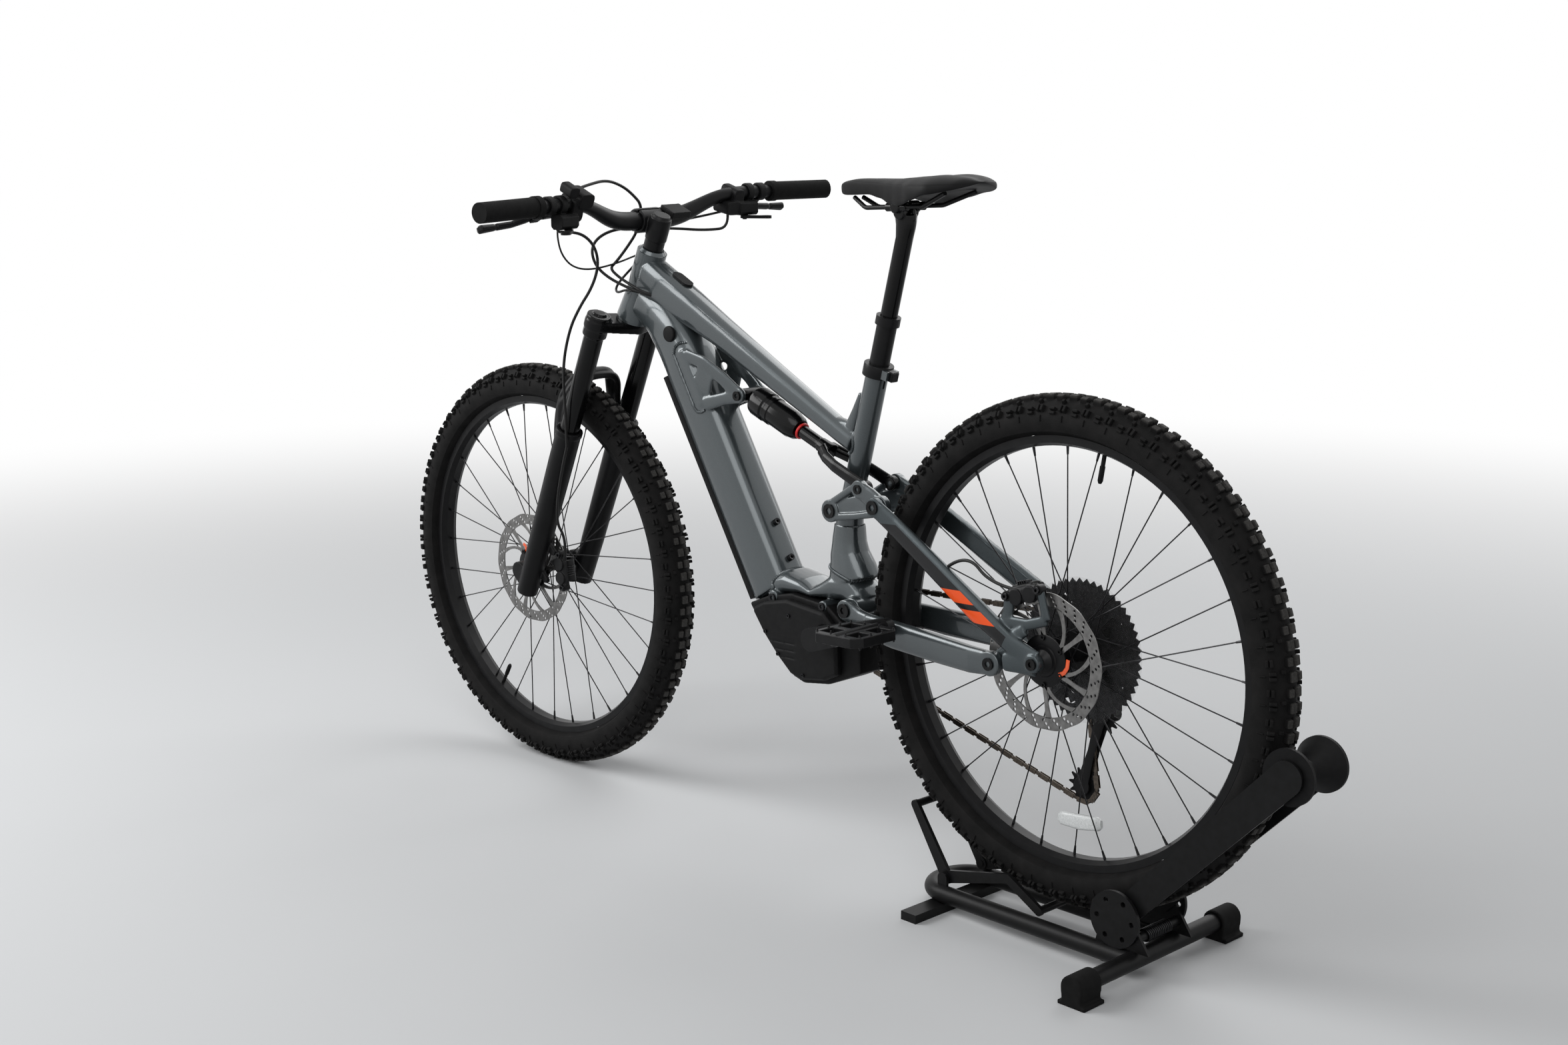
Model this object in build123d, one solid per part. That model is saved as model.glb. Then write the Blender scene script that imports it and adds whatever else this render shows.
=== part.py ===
from build123d import *
import os
from math import asin, atan2, ceil, cos, degrees, hypot, pi, radians, sin, tan

# Driving dimensions, in millimetres and degrees.
# The bicycle's own frame has the rear axle at its origin, X forward, Y left and Z up.

# Skeleton of the bicycle
WHEELBASE = 1228.0
STAND_LIFT = 58.0
HEAD_ANGLE = 63.5
FORK_OFFSET = 46.0
AXLE_TO_CROWN = 544.0
HEAD_TUBE_LENGTH = 125.0
REST_STEER = 2.5
SEAT_ANGLE = 72.5
CRANK_CENTRE = (449.0, -25.0)
CRANK_LENGTH = 165.0
CRANK_REST = 166.0
MAIN_PIVOT = (399.0, 23.0)
STAY_PIVOT = (81.0, -11.0)
ROCKER_PIVOT = (434.0, 176.0)
ROCKER_YOKE = (371.0, 215.0)
ROCKER_STAY = (328.0, 192.0)
SHOCK_PIVOT = (657.0, 344.0)

# Fits
WELD_GAP = 0.1
RUN_GAP = 0.3
FIT_GAP = 0.05

# Wheels
TYRE_RADIUS = 375.0
TYRE_WIDTH = 66.0
TYRE_WALL = 3.0
KNOB_HEIGHT = 6.0
KNOB_PITCHES = 36
SHOULDER_DROP = 7.0
RIM_INNER = 302.0
RIM_WIDTH = 35.0
RIM_SEAT = 312.0
RIM_LIP = 318.0
SPOKES = 32
SPOKE_RADIUS = 1.1
SPOKE_CROSSES = 3
ROTOR_RADIUS = 101.5
ROTOR_BAND = 17.0
ROTOR_THICK = 2.0
FRONT_HUB_WIDTH = 110.0
FRONT_ROTOR_Y = 39.7
FRONT_AXLE_RADIUS = 7.5
REAR_HUB_WIDTH = 148.0
REAR_ROTOR_Y = 58.7
FRONT_CALIPER_ANGLE = 150.0
REAR_CALIPER_ANGLE = 75.0
REAR_AXLE_RADIUS = 6.0
FLANGE_RADIUS = 29.0
FREEHUB_RADIUS = 12.0

# Drive
CHAIN_PITCH = 12.7
CHAIN_Y = -50.0
CHAINRING_TEETH = 34
COG_TEETH = (10, 12, 14, 16, 18, 21, 24, 28, 32, 36, 42, 51)
COG_IN_USE = 21
COG_PITCH = 3.65
COG_THICK = 1.6
PULLEY_TEETH = 12
GUIDE_PULLEY = (-19.0, -101.0)
TENSION_PULLEY = (11.0, -214.0)
SPINDLE_RADIUS = 12.0
CRANK_INSIDE = 74.0
CRANK_OUTSIDE = 88.0
PEDAL_LENGTH = 100.0
PEDAL_WIDTH = 96.0
PEDAL_THICK = 15.0

# Frame tubes
DOWN_TUBE_FOOT = (598.0, 26.0)
DOWN_TUBE_ANGLE = 61.5
DOWN_TUBE_WIDTH = 76.0
DOWN_TUBE_DEPTH = 84.0
DOWN_TUBE_WALL = 4.0
DOWN_TUBE_STRAIGHT = 455.0
BATTERY_LENGTH = 385.0
BOSS_SPACING = 64.0
BOSS_FIRST = 37.0
BOSS_HOLE = 2.5
HEAD_TUBE_RADIUS = 26.0
HEAD_TUBE_FLARE = 31.0
HEAD_BORE = 20.5
STEERER_RADIUS = 14.3
TOP_TUBE_HEAD_RISE = 90.0
TOP_TUBE_SEAT_Z = 271.0
TOP_TUBE_WALL = 3.0
TOP_TUBE_HEAD = (46.0, 54.0)
TOP_TUBE_SEAT = (33.0, 31.0)
TOP_TUBE_CORNER = 0.42
BUTTON_HEIGHT = 32.0
BUTTON_TRAVEL = 0.6
SEAT_TUBE_RADIUS = 18.0
SEAT_TUBE_UPPER = 235.0
SEAT_TUBE_BASE = (448.0, 60.0)
POST_OUTER_RADIUS = 15.8
POST_RADIUS = 13.5
POST_EXPOSED = 82.0
POST_TRAVEL = 125.0
MOTOR_HALF_WIDTH = 42.0
COVER_OUTSIDE = 55.0

# Fork and cockpit, measured along the steering axis from the front axle's level
LEG_OFFSET = 18.0
LEG_Y = 66.0
STANCHION_RADIUS = 17.5
LOWER_RADIUS = 23.0
SEAL_HEIGHT = 317.0
FORK_TRAVEL = 140.0
STEM_HEIGHT = 712.0
STEM_REACH = 32.0
BAR_RADIUS = 11.0
BAR_CLAMP_RADIUS = 15.9
BAR_HALF = 390.0
BAR_SWEEP = 31.0
BAR_RISE = 52.0
GRIP_LENGTH = 128.0
GRIP_RADIUS = 16.5

# Rear suspension layers, measured from the middle plane
YOKE_INNER = 24.0
YOKE_OUTER = 35.0
ROCKER_INNER = 36.0
ROCKER_OUTER = 48.0
STAY_INNER = 49.0
STAY_OUTER = 61.0
SHOCK_LENGTH = 210.0
SHOCK_CAN_RADIUS = 22.0
SHOCK_SHAFT_RADIUS = 11.0
SHOCK_STROKE = 55.0

# Saddle
SADDLE_NOSE_X = 428.0
SADDLE_TAIL_X = 146.0
SADDLE_WIDTH = 145.0
SADDLE_TOP = 688.0
RAIL_RADIUS = 3.5
RAIL_Z = 642.0

# Stand, measured from the floor and from the rear axle
STAND_TUBE_RADIUS = 13.5
STAND_HALF_WIDTH = 53.0
STAND_FRONT_X = 240.0
STAND_REAR_X = -162.0
STAND_BAR_X = 200.0
STAND_BAR_LENGTH = 246.0
STAND_BAR_WIDTH = 30.0
STAND_BAR_HEIGHT = 14.0
STAND_FOOT_SPREAD = 334.0
STAND_FOOT_LENGTH = 46.0
STAND_FOOT_SOLE = 6.0
ARM_PIVOT = (-133.0, 82.0)
ARM_INNER = 44.0
ARM_THICK = 4.0
DISC_RADIUS = 42.0
ROLLER_ANGLE = 192.2
ROLLER_WAIST = 14.0
ROLLER_RIM = 39.0
ROLLER_HALF = 42.0
LEVER_PIVOT = (195.0, 52.0)
LEVER_ROD_RADIUS = 6.0

BASE = (Align.CENTER, Align.CENTER, Align.MIN)
TILT = degrees(asin(STAND_LIFT / WHEELBASE))
AXLE_HEIGHT = TYRE_RADIUS + STAND_LIFT
# The roller's cones meet the outer edges of the tyre's shoulder knobs.
ROLLER_CONE = (ROLLER_RIM - ROLLER_WAIST) / (ROLLER_HALF - 9.0)
ROLLER_REACH = TYRE_RADIUS - SHOULDER_DROP + ROLLER_WAIST + ROLLER_CONE * (TYRE_WIDTH / 2 - 7.0) + WELD_GAP
ROLLER_X = ROLLER_REACH * cos(radians(ROLLER_ANGLE))
ROLLER_Z = AXLE_HEIGHT + ROLLER_REACH * sin(radians(ROLLER_ANGLE))
FRONT_REACH = WHEELBASE * cos(radians(TILT)) + TYRE_RADIUS
ORIGIN_X = (FRONT_REACH + ROLLER_X - ROLLER_RIM) / 2

STEER_UP = Vector(-cos(radians(HEAD_ANGLE)), 0, sin(radians(HEAD_ANGLE)))
STEER_FORWARD = Vector(sin(radians(HEAD_ANGLE)), 0, cos(radians(HEAD_ANGLE)))
STEER_FOOT = Vector(WHEELBASE, 0, 0) - STEER_FORWARD * FORK_OFFSET
TUBE_ALONG = Vector(cos(radians(DOWN_TUBE_ANGLE)), 0, sin(radians(DOWN_TUBE_ANGLE)))
TUBE_OUT = Vector(-sin(radians(DOWN_TUBE_ANGLE)), 0, cos(radians(DOWN_TUBE_ANGLE)))
SEAT_UP = Vector(-cos(radians(SEAT_ANGLE)), 0, sin(radians(SEAT_ANGLE)))

# Where each group stands in the finished assembly
ON_FLOOR = Pos(-ORIGIN_X, 0, 0)
ON_STAND = Pos(-ORIGIN_X, 0, AXLE_HEIGHT) * Rot(0, TILT, 0)
HEAD_FRAME = Plane(STEER_FOOT, x_dir=STEER_FORWARD, z_dir=STEER_UP).location
TUBE_FRAME = Plane((DOWN_TUBE_FOOT[0], 0, DOWN_TUBE_FOOT[1]), x_dir=TUBE_ALONG, z_dir=TUBE_OUT).location
ON_HEAD = ON_STAND * HEAD_FRAME
STEERED = ON_HEAD * Rot(0, 0, REST_STEER)
FRONT_HUB = STEERED * Pos(FORK_OFFSET, 0, 0)


def side(y):
    return Plane((0, y, 0), x_dir=(1, 0, 0), z_dir=(0, -1, 0))


def slab(outline, low, high):
    return extrude(side(high) * outline, amount=high - low)


def polygon(points, corner=0.0):
    face = make_face(Polyline(*points, close=True))
    return fillet(face.vertices(), corner) if corner else face


def hull(*spots):
    return make_hull([edge for x, z, r in spots for edge in (Pos(x, z) * Circle(r)).edges()])


def rod(start, end, radius, end_radius=None):
    start, end = Vector(*start), Vector(*end)
    length = (end - start).length
    if end_radius is None or end_radius == radius:
        shape = Cylinder(radius, length, align=BASE)
    else:
        shape = Cone(radius, end_radius, length, align=BASE)
    return Plane(start, z_dir=end - start) * shape


def drum(x, z, radius, low, high):
    return rod((x, low, z), (x, high, z), radius)


def turned(points):
    return revolve(make_face(Polyline(*points, close=True)), Axis.Y)


# A round bar of straight runs and round bends.
def pipe(points, bend, radius):
    spots = [Vector(*point) for point in points]
    start = spots[0]
    pieces = []
    for before, corner, after in zip(spots, spots[1:], spots[2:]):
        arriving = (corner - before).normalized()
        leaving = (after - corner).normalized()
        turn = arriving.get_angle(leaving)
        trim = bend * tan(radians(turn) / 2)
        entry = corner - arriving * trim
        hinge = arriving.cross(leaving).normalized()
        pieces.append(rod(start, entry, radius))
        section = Plane(entry, z_dir=arriving) * Circle(radius)
        pieces.append(revolve(section, Axis(entry + hinge.cross(arriving) * bend, hinge), turn))
        start = corner + leaving * trim
    pieces.append(rod(start, spots[-1], radius))
    return pieces[0].fuse(*pieces[1:])


# A hose or cable, drawn with a few flat sides.
def hose_line(points, bend, radius):
    path = FilletPolyline(*points, radius=bend)
    return sweep(Plane(path @ 0, z_dir=path % 0) * RegularPolygon(radius, HOSE_SIDES), path=path)


def both_sides(shape):
    return shape + mirror(shape, about=Plane.XZ)


def pair(shape):
    return Compound(children=[*shape.solids(), *mirror(shape, about=Plane.XZ).solids()])


def group(*shapes):
    return Compound(children=[solid for shape in shapes for solid in shape.solids()])


def along(start, direction, distance):
    return (start[0] + direction.X * distance, start[1] + direction.Z * distance)


def pitch_radius(teeth):
    return CHAIN_PITCH / (2 * sin(pi / teeth))


# A toothed outline whose gaps sit at the roller angles, the first gap at the phase given.
def toothed(teeth, phase=0.0, tip=3.2, root=4.4):
    pitch = pitch_radius(teeth)
    step = 2 * pi / teeth
    points = []
    for index in range(teeth):
        gap = radians(phase) + index * step
        for turn, radius in ((-0.16, pitch - root), (0.16, pitch - root), (0.42, pitch + tip), (0.58, pitch + tip)):
            angle = gap + turn * step
            points.append((radius * cos(angle), radius * sin(angle)))
    return make_face(Polyline(*points, close=True))


# Welded front triangle

HEAD_TOP = AXLE_TO_CROWN + HEAD_TUBE_LENGTH
CUP_FLANGE = 5.0


def head_point(height):
    spot = STEER_FOOT + STEER_UP * height
    return (spot.X, spot.Z)


def seat_point(height):
    return along(ROCKER_PIVOT, SEAT_UP, height)


def spot(point, y=0.0):
    return (point[0], y, point[1])


def head_outer(grow=0.0):
    flare_top = AXLE_TO_CROWN + 0.4 * HEAD_TUBE_LENGTH
    low = rod((0, 0, AXLE_TO_CROWN), (0, 0, flare_top), HEAD_TUBE_FLARE + grow, HEAD_TUBE_RADIUS + grow)
    return low + rod((0, 0, flare_top), (0, 0, HEAD_TOP), HEAD_TUBE_RADIUS + grow)


def head_tube():
    tube = head_outer() - rod((0, 0, AXLE_TO_CROWN), (0, 0, HEAD_TOP), HEAD_BORE)
    spigot = 12.0
    steerer = rod((0, 0, AXLE_TO_CROWN - spigot), (0, 0, HEAD_TOP + spigot), STEERER_RADIUS + RUN_GAP)
    lower = rod((0, 0, AXLE_TO_CROWN), (0, 0, AXLE_TO_CROWN + spigot), HEAD_BORE - FIT_GAP)
    lower += rod((0, 0, AXLE_TO_CROWN - CUP_FLANGE), (0, 0, AXLE_TO_CROWN), HEAD_TUBE_FLARE - 1.5)
    upper = rod((0, 0, HEAD_TOP - spigot), (0, 0, HEAD_TOP), HEAD_BORE - FIT_GAP)
    upper += rod((0, 0, HEAD_TOP), (0, 0, HEAD_TOP + CUP_FLANGE), HEAD_TUBE_RADIUS - 2.0, HEAD_TUBE_RADIUS - 6.0)
    return HEAD_FRAME * group(tube, lower - steerer, upper - steerer)


# The down tube's outside without its cavity, in the tube's own frame.
def down_outer(grow=0.0):
    bend_end = (DOWN_TUBE_STRAIGHT + 127.0, 0, -68.0)
    path = FilletPolyline((-grow, 0, 0), (DOWN_TUBE_STRAIGHT, 0, 0), bend_end, radius=180.0)
    width, depth = DOWN_TUBE_WIDTH + 2 * grow, DOWN_TUBE_DEPTH + 2 * grow
    section = RectangleRounded(width, depth, 26.0 + grow)
    return sweep(Plane((-grow, 0, 0), x_dir=(0, 1, 0), z_dir=(1, 0, 0)) * section, path=path)


def shock_plates():
    surface = DOWN_TUBE_DEPTH / 2
    upper = TUBE_FRAME * Pos(430.0, 0, surface - 4)
    lower = TUBE_FRAME * Pos(330.0, 0, surface - 4)
    top, foot = upper.position, lower.position
    plate = hull((*SHOCK_PIVOT, 13.0), (top.X, top.Z, 6.0), (foot.X, foot.Z, 6.0))
    middle = ((SHOCK_PIVOT[0] + top.X + foot.X) / 3, (SHOCK_PIVOT[1] + top.Z + foot.Z) / 3)
    window = [(m[0] * 0.36 + middle[0] * 0.64, m[1] * 0.36 + middle[1] * 0.64, 4.0)
              for m in (SHOCK_PIVOT, (top.X, top.Z), (foot.X, foot.Z))]
    return slab(plate - hull(*window), 20.0, 29.0)


def down_tube():
    tube = down_outer()
    wall = DOWN_TUBE_WALL
    cavity = RectangleRounded(DOWN_TUBE_WIDTH - 2 * wall, DOWN_TUBE_DEPTH - 2 * wall, 22.0)
    tube -= extrude(Plane((-1, 0, 0), x_dir=(0, 1, 0), z_dir=(1, 0, 0)) * cavity, amount=BATTERY_LENGTH + 25)
    slot = Pos(12, 0, -DOWN_TUBE_DEPTH / 2) * Box(BATTERY_LENGTH + 6, 44, 4 * wall, align=(Align.MIN, Align.CENTER, Align.CENTER))
    tube -= slot
    top = DOWN_TUBE_DEPTH / 2
    for index in range(2):
        reach = BOSS_FIRST + index * BOSS_SPACING
        tube += rod((reach, 0, top - wall), (reach, 0, top + 2), 6.5)
        tube -= rod((reach, 0, top - 2 * wall), (reach, 0, top + 3), BOSS_HOLE)
    ahead = Pos(0, 0, AXLE_TO_CROWN) * Box(200, 200, 400, align=(Align.MIN, Align.CENTER, Align.CENTER))
    below = Pos(0, 0, AXLE_TO_CROWN + 2) * Box(130, 200, 200, align=(Align.CENTER, Align.CENTER, Align.MAX))
    tube = TUBE_FRAME * tube - HEAD_FRAME * head_outer(WELD_GAP) - HEAD_FRAME * ahead - HEAD_FRAME * below
    plates = both_sides(shock_plates() - TUBE_FRAME * down_outer(-1.0))
    pin = drum(*SHOCK_PIVOT, 5.0, -29.0, 29.0)
    return tube + plates + pin


def battery_parts():
    wall = DOWN_TUBE_WALL
    floor = -DOWN_TUBE_DEPTH / 2 + 2 * wall
    height = DOWN_TUBE_DEPTH - 3 * wall - 4
    section = Plane((15, 0, floor + height / 2), x_dir=(0, 1, 0), z_dir=(1, 0, 0)) * RectangleRounded(DOWN_TUBE_WIDTH - 2 * wall - 4, height, 18)
    pack = extrude(section, amount=BATTERY_LENGTH - 5)
    spigot = Pos(13, 0, floor - RUN_GAP) * Box(BATTERY_LENGTH + 4, 43.4, 2 * wall + 2, align=(Align.MIN, Align.CENTER, Align.MAX))
    underside = -DOWN_TUBE_DEPTH / 2
    lip = RectangleRounded(56, 18, 8)
    skin = extrude(Plane((6, 0, underside - 9 - WELD_GAP), x_dir=(0, 1, 0), z_dir=(1, 0, 0)) * lip, amount=BATTERY_LENGTH + 24)
    skin = skin & (Pos(0, 0, underside - WELD_GAP) * Box(1000, 100, 10, align=(Align.CENTER, Align.CENTER, Align.MAX)))
    cover = skin + spigot
    return TUBE_FRAME * pack, TUBE_FRAME * cover


def seat_outer(grow=0.0):
    top = seat_point(SEAT_TUBE_UPPER)
    low = rod(spot(SEAT_TUBE_BASE), spot(ROCKER_PIVOT), 26.0 + grow, SEAT_TUBE_RADIUS + 3 + grow)
    return low + rod(spot(seat_point(-8.0)), spot(top), SEAT_TUBE_RADIUS + grow)


def seat_tube():
    tube = seat_outer() + drum(*ROCKER_PIVOT, 16.0, -ROCKER_INNER + 0.5, ROCKER_INNER - 0.5)
    tube -= rod(spot(seat_point(24.0)), spot(seat_point(SEAT_TUBE_UPPER + 1)), POST_OUTER_RADIUS + FIT_GAP)
    tube -= drum(*ROCKER_PIVOT, 9.0 + FIT_GAP, -ROCKER_INNER, ROCKER_INNER)
    slot_top = seat_point(SEAT_TUBE_UPPER)
    slot = Plane(spot(slot_top), x_dir=(0, 1, 0), z_dir=SEAT_UP) * Pos(0, 22, 0) * Box(4, 30, 60)
    tube -= slot
    collar = rod(spot(seat_point(SEAT_TUBE_UPPER - 14)), spot(seat_point(SEAT_TUBE_UPPER + 4)), SEAT_TUBE_RADIUS + 5)
    ear = Plane(spot(seat_point(SEAT_TUBE_UPPER - 5)), x_dir=(0, 1, 0), z_dir=SEAT_UP) * Pos(0, 24, 0)
    collar += ear * Box(26, 14, 14)
    collar -= rod(spot(seat_point(SEAT_TUBE_UPPER - 15)), spot(seat_point(SEAT_TUBE_UPPER)), SEAT_TUBE_RADIUS + FIT_GAP)
    collar -= rod(spot(seat_point(SEAT_TUBE_UPPER - 1)), spot(seat_point(SEAT_TUBE_UPPER + 5)), POST_OUTER_RADIUS + FIT_GAP)
    collar -= ear * Box(3, 40, 40)
    return group(tube, collar)


def top_run():
    reach = (TOP_TUBE_SEAT_Z - ROCKER_PIVOT[1]) / SEAT_UP.Z
    return Vector(*spot(head_point(AXLE_TO_CROWN + TOP_TUBE_HEAD_RISE))), Vector(*spot(seat_point(reach)))


# Flat-sided all round, three flats to each rounded corner, so that it meets the round tubes in clean edges.
def top_section(place, size, grow):
    wide, deep = size[0] + 2 * grow, size[1] + 2 * grow
    corner = TOP_TUBE_CORNER * wide
    points = []
    for quarter, (across, rise) in enumerate([(1, 1), (-1, 1), (-1, -1), (1, -1)]):
        for turn in range(0, 91, 30):
            angle = radians(90 * quarter + turn)
            points.append((across * (wide / 2 - corner) + corner * cos(angle), rise * (deep / 2 - corner) + corner * sin(angle)))
    return place * Polygon(*points, align=None)


def top_outer(grow=0.0):
    start, end = top_run()
    axis = end - start
    head = top_section(Plane(start, x_dir=(0, 1, 0), z_dir=axis), TOP_TUBE_HEAD, grow)
    seat = top_section(Plane(end, x_dir=(0, 1, 0), z_dir=axis), TOP_TUBE_SEAT, grow)
    return loft([head, seat], ruled=True)


def top_tube():
    start, seat = top_run()
    front = SEAT_TUBE_RADIUS / sin(radians(SEAT_ANGLE))
    gusset = polygon([(seat.X + front - 18, seat.Z + 88), (seat.X - 2, seat.Z), (seat.X + front + 40, seat.Z + 44)])
    tube = top_outer() + slab(gusset, -11.0, 11.0) - top_outer(-TOP_TUBE_WALL)
    tube -= HEAD_FRAME * head_outer(WELD_GAP)
    tube -= seat_outer(WELD_GAP)
    return tube - TUBE_FRAME * down_outer(WELD_GAP)


CRADLE_UNDER = [(384.0, 4.0), (420.0, 5.0), (452.0, 22.0), (535.0, 32.0), (590.0, 22.0), (638.0, 5.0)]


def motor_cradle():
    top = [(575.0, 62.0), (540.0, 50.0), (505.0, 54.0), (482.0, 76.0), (414.0, 76.0), (386.0, 38.0)]
    shell = slab(polygon(CRADLE_UNDER + top, 4.0), -38.0, 38.0)
    shell += drum(*MAIN_PIVOT, 18.0, -29.0, 43.5)
    shell -= drum(*MAIN_PIVOT, 10.0 + FIT_GAP, -60.0, 60.0)
    shell -= Pos(MAIN_PIVOT[0], -29.0 - RUN_GAP, MAIN_PIVOT[1]) * Box(40, 40, 200, align=(Align.CENTER, Align.MAX, Align.CENTER))
    shell -= TUBE_FRAME * down_outer(WELD_GAP)
    return shell - seat_outer(WELD_GAP)


MOTOR_OUTLINE = [(384.0, -4.0), (422.0, -2.0), (453.0, 21.5), (535.0, 31.5), (590.0, 21.5), (634.0, 5.0),
                 (602.0, -40.0), (566.0, -78.0), (536.0, -105.0), (512.0, -113.0), (455.0, -107.0), (384.0, -80.0)]


def drive_unit_parts():
    body = slab(polygon(MOTOR_OUTLINE, 3.0), -MOTOR_HALF_WIDTH, MOTOR_HALF_WIDTH)
    body = body - drum(*CRANK_CENTRE, SPINDLE_RADIUS + FIT_GAP, -60, 60) - drum(*MAIN_PIVOT, 18.0 + RUN_GAP, -60, 60)
    rim = [(424.0, -14.0), (452.0, 12.0), (535.0, 23.0), (588.0, 14.0), (618.0, 0.0),
           (590.0, -40.0), (560.0, -73.0), (532.0, -98.0), (510.0, -105.0), (455.0, -99.0), (424.0, -86.0)]
    cover = slab(polygon(rim, 8.0), MOTOR_HALF_WIDTH, COVER_OUTSIDE)
    cover = chamfer(cover.faces().sort_by(Axis.Y)[-1].edges(), 4.0)
    cover -= drum(*CRANK_CENTRE, SPINDLE_RADIUS + 6, 0, 80)
    for z in (-48.0, -60.0, -72.0):
        cover -= Pos(560, COVER_OUTSIDE, z) * Box(90, 3, 3)
    return body, cover


BUTTON_REACH = 88.0


def power_button():
    start, end = top_run()
    run = (end - start).normalized()
    up = Vector(-run.Z, 0, run.X) if run.X > 0 else Vector(run.Z, 0, -run.X)
    place = Plane(start + run * BUTTON_REACH, x_dir=run, z_dir=up)
    pad = place * extrude(SlotOverall(46, 20), amount=60.0)
    lid = place * Pos(0, 0, BUTTON_HEIGHT) * Box(100, 60, 100, align=BASE)
    return pad - lid - top_outer(BUTTON_TRAVEL + WELD_GAP), up


# Seat post and saddle

def post_parts():
    collar = SEAT_TUBE_UPPER + POST_EXPOSED
    outer = rod(spot(seat_point(30.0)), spot(seat_point(collar - 14)), POST_OUTER_RADIUS)
    outer += rod(spot(seat_point(collar - 14)), spot(seat_point(collar)), POST_OUTER_RADIUS + 3.5)
    outer -= rod(spot(seat_point(40.0)), spot(seat_point(collar + 1)), POST_RADIUS + FIT_GAP)
    top = collar + POST_TRAVEL + 14.0
    post = rod(spot(seat_point(collar - 90)), spot(seat_point(top)), POST_RADIUS)
    head = seat_point(top)
    cradle = RAIL_Z - head[1] + 8
    post += Pos(head[0], 0, head[1] - 8) * Box(36, 28, cradle, align=BASE)
    post += Pos(head[0], 0, RAIL_Z) * Box(40, 58, 13)
    return outer, post - both_sides(saddle_rail(WELD_GAP))


def saddle_rail(grow=0.0):
    points = [(SADDLE_NOSE_X - 34, 9, SADDLE_TOP - 30), (SADDLE_NOSE_X - 62, 15, RAIL_Z), (SADDLE_TAIL_X + 96, 22, RAIL_Z),
              (SADDLE_TAIL_X + 42, 34, SADDLE_TOP - 28)]
    return pipe(points, 20.0, RAIL_RADIUS + grow)


def saddle():
    length = SADDLE_NOSE_X - SADDLE_TAIL_X
    sections = []
    for share, width, top, crown in ((0.0, 0.62, -4.0, 8.0), (0.06, 0.9, 0.0, 12.0), (0.2, 1.0, 0.0, 14.0),
                                     (0.5, 0.62, -4.0, 12.0), (0.75, 0.36, -8.0, 11.0), (0.95, 0.27, -12.0, 10.0),
                                     (1.0, 0.16, -18.0, 6.0)):
        half = SADDLE_WIDTH * width / 2
        plane = Plane((SADDLE_TAIL_X + share * length, 0, SADDLE_TOP + top), x_dir=(0, 1, 0), z_dir=(1, 0, 0))
        low = -24.0 - top * 0.9
        edges = [Line((-half * 0.8, low), (half * 0.8, low)), Line((half * 0.8, low), (half, -crown)),
                 ThreePointArc((half, -crown), (0, 0), (-half, -crown)), Line((-half, -crown), (-half * 0.8, low))]
        sections.append(plane * make_face(edges))
    return loft(sections, ruled=True)


# Fork and cockpit, in the steering frame: X forward of the steering axis, Z along it

CROWN_TOP = AXLE_TO_CROWN - CUP_FLANGE - RUN_GAP
CROWN_BASE = CROWN_TOP - 18.0
STEM_CLAMP_HALF = 20.0


def fork_upper():
    upper = rod((0, 0, CROWN_BASE), (0, 0, STEM_HEIGHT + STEM_CLAMP_HALF), STEERER_RADIUS)
    arm = hull((0, 0, 25.0), (LEG_OFFSET, LEG_Y, 23.0))
    crown = extrude(arm, amount=CROWN_TOP - CROWN_BASE) + extrude(mirror(arm, about=Plane.XZ), amount=CROWN_TOP - CROWN_BASE)
    crown = fillet(crown.edges().group_by(Axis.Z)[-1], 5.0)
    upper += Pos(0, 0, CROWN_BASE) * crown
    for y in (-LEG_Y, LEG_Y):
        upper += rod((LEG_OFFSET, y, CROWN_BASE - 16), (LEG_OFFSET, y, CROWN_TOP + 6), STANCHION_RADIUS + 4)
        upper += rod((LEG_OFFSET, y, SEAL_HEIGHT - FORK_TRAVEL), (LEG_OFFSET, y, CROWN_TOP), STANCHION_RADIUS)
        upper += rod((LEG_OFFSET, y, CROWN_TOP + 6), (LEG_OFFSET, y, CROWN_TOP + 10), 12.0)
    return upper


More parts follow.
